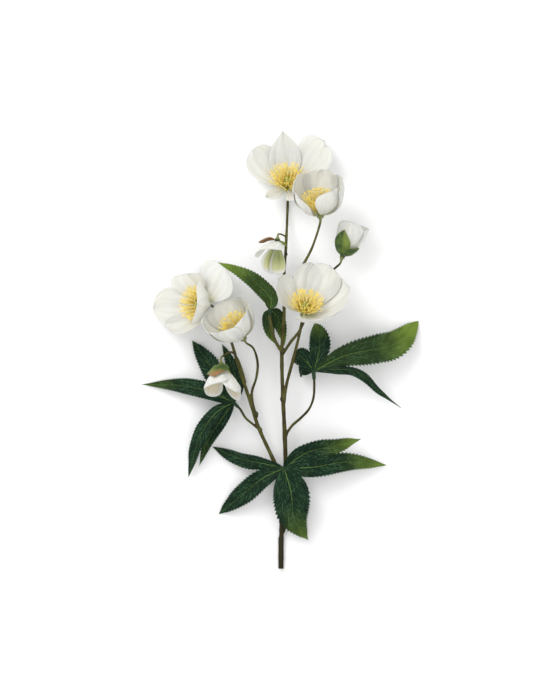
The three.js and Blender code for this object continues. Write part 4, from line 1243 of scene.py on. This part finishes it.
def table_material(settings):
    """A smooth pale table, very faintly mottled."""
    wiring = Coat("Pale table", 0.7, Specular_IOR_Level=0.2)
    where = wiring.node("ShaderNodeTexCoord", output="Object")
    drift = wiring.noise(where, 3.0, 2.0)
    darker = [TABLE_MOTTLE * channel for channel in settings.floor]
    wiring.feed(wiring.shader.inputs["Base Color"],
                wiring.mix(wiring.ramp(drift, 0.3, 0.7), settings.floor, darker))
    return wiring.material


# ---------- the stage ----------

CAMERA_OFFSET = 0.0004  # the spray's middle lies this far off the origin, in metres
LENS = 249.6  # in millimetres
TABLE_HALF = 4.0
# Where each light hangs, in metres, how it is turned, in degrees, and its side.
SOFTBOX = ((-0.8, 0.9, 1.3), (38, 0, 222), 0.9)
OVERHEAD = ((0.2, -0.2, 2.3), (0, 0, 0), 2.2)


def add_light(name, place, turn, size, power):
    data = bpy.data.lights.new(name, "AREA")
    data.size, data.energy = size, power
    light = linked(name, data)
    light.location = place
    light.rotation_euler = [radians(angle) for angle in turn]
    light.visible_camera = False


def build_stage(settings):
    scene = bpy.context.scene
    data = bpy.data.cameras.new("camera")
    data.lens = LENS
    camera = linked("camera", data)
    camera.location = (-CAMERA_OFFSET, CAMERA_OFFSET, settings.height)
    scene.camera = camera

    mesh = bpy.data.meshes.new("table")
    far = TABLE_HALF
    mesh.from_pydata([(-far, -far, 0), (far, -far, 0), (far, far, 0), (-far, far, 0)], [],
                     [(0, 1, 2, 3)])
    mesh.materials.append(table_material(settings))
    table = linked("table", mesh)

    add_light("softbox", *SOFTBOX, settings.key)
    add_light("overhead", *OVERHEAD, settings.fill)
    world = bpy.data.worlds.new("room")
    world.use_nodes = True
    sky = world.node_tree.nodes["Background"]
    sky.inputs["Color"].default_value = (1, 1, 1, 1)
    sky.inputs["Strength"].default_value = settings.sky
    scene.world = world
    scene.view_settings.view_transform = "Standard"


# ---------- operators ----------

def grow(layout, build, *given):
    for each in layout:
        build(each, *given)
    return {"FINISHED"}


class HELLEBORE_OT_stage(Operator):
    """Set the pale table, the soft lights and the camera that looks down on the spray"""
    bl_idname = "hellebore.stage"
    bl_label = "Stage"

    def execute(self, context):
        build_stage(context.scene.hellebore.stage)
        return {"FINISHED"}


class HELLEBORE_OT_sepals(Operator):
    """Grow the white sepals of the open blooms"""
    bl_idname = "hellebore.sepals"
    bl_label = "Sepals"

    def execute(self, context):
        settings = context.scene.hellebore.sepals
        return grow(BLOOMS, build_bloom_sepals, settings, sepal_material(settings))


class HELLEBORE_OT_stamens(Operator):
    """Grow the golden stamens of each bloom"""
    bl_idname = "hellebore.stamens"
    bl_label = "Stamens"

    def execute(self, context):
        settings = context.scene.hellebore.stamens
        return grow(BLOOMS, build_stamens, settings, stamen_material(settings))


class HELLEBORE_OT_carpels(Operator):
    """Grow the green carpels in the middle of each bloom"""
    bl_idname = "hellebore.carpels"
    bl_label = "Carpels"

    def execute(self, context):
        return grow(BLOOMS, build_carpels, carpel_material(context.scene.hellebore.stamens))


class HELLEBORE_OT_buds(Operator):
    """Grow the closed buds with their bracts"""
    bl_idname = "hellebore.buds"
    bl_label = "Buds"

    def execute(self, context):
        settings = context.scene.hellebore
        bracts = bract_material(settings.leaves, settings.stems, settings.sepals)
        return grow(BUDS, build_bud, settings.sepals, bud_material(settings.sepals), bracts)


class HELLEBORE_OT_leaves(Operator):
    """Grow the serrated palmate leaves"""
    bl_idname = "hellebore.leaves"
    bl_label = "Leaves"

    def execute(self, context):
        settings = context.scene.hellebore.leaves
        return grow(LEAVES, build_leaf, settings, leaf_material(settings))


class HELLEBORE_OT_stem(Operator):
    """Grow the branched stem"""
    bl_idname = "hellebore.stem"
    bl_label = "Stem"

    def execute(self, context):
        settings = context.scene.hellebore.stems
        build_stem(settings, stem_material(settings))
        return {"FINISHED"}


PIECES = [HELLEBORE_OT_stage, HELLEBORE_OT_stem, HELLEBORE_OT_leaves, HELLEBORE_OT_sepals,
          HELLEBORE_OT_stamens, HELLEBORE_OT_carpels, HELLEBORE_OT_buds]


class HELLEBORE_PT_spray(Panel):
    """Lists the pieces of the spray"""
    bl_idname = "HELLEBORE_PT_spray"
    bl_label = "Hellebore spray"
    bl_space_type = "VIEW_3D"
    bl_region_type = "UI"
    bl_category = "Hellebore"

    def draw(self, context):
        for piece in PIECES:
            self.layout.operator(piece.bl_idname)
        for name in ("sepals", "stamens", "leaves", "stems", "stage"):
            group = getattr(context.scene.hellebore, name)
            box = self.layout.box()
            box.label(text=name.capitalize())
            for key in group.bl_rna.properties.keys():
                if key not in ("rna_type", "name"):
                    box.prop(group, key)


CLASSES = [SepalSettings, StamenSettings, LeafSettings, StemSettings, StageSettings,
           SpraySettings, *PIECES, HELLEBORE_PT_spray]


def register():
    for each in CLASSES:
        bpy.utils.register_class(each)
    bpy.types.Scene.hellebore = PointerProperty(type=SpraySettings)


def unregister():
    del bpy.types.Scene.hellebore
    for each in reversed(CLASSES):
        bpy.utils.unregister_class(each)


def main():
    register()
    for piece in PIECES:
        group, name = piece.bl_idname.split(".")
        getattr(getattr(bpy.ops, group), name)()


if __name__ == "__main__":
    main()
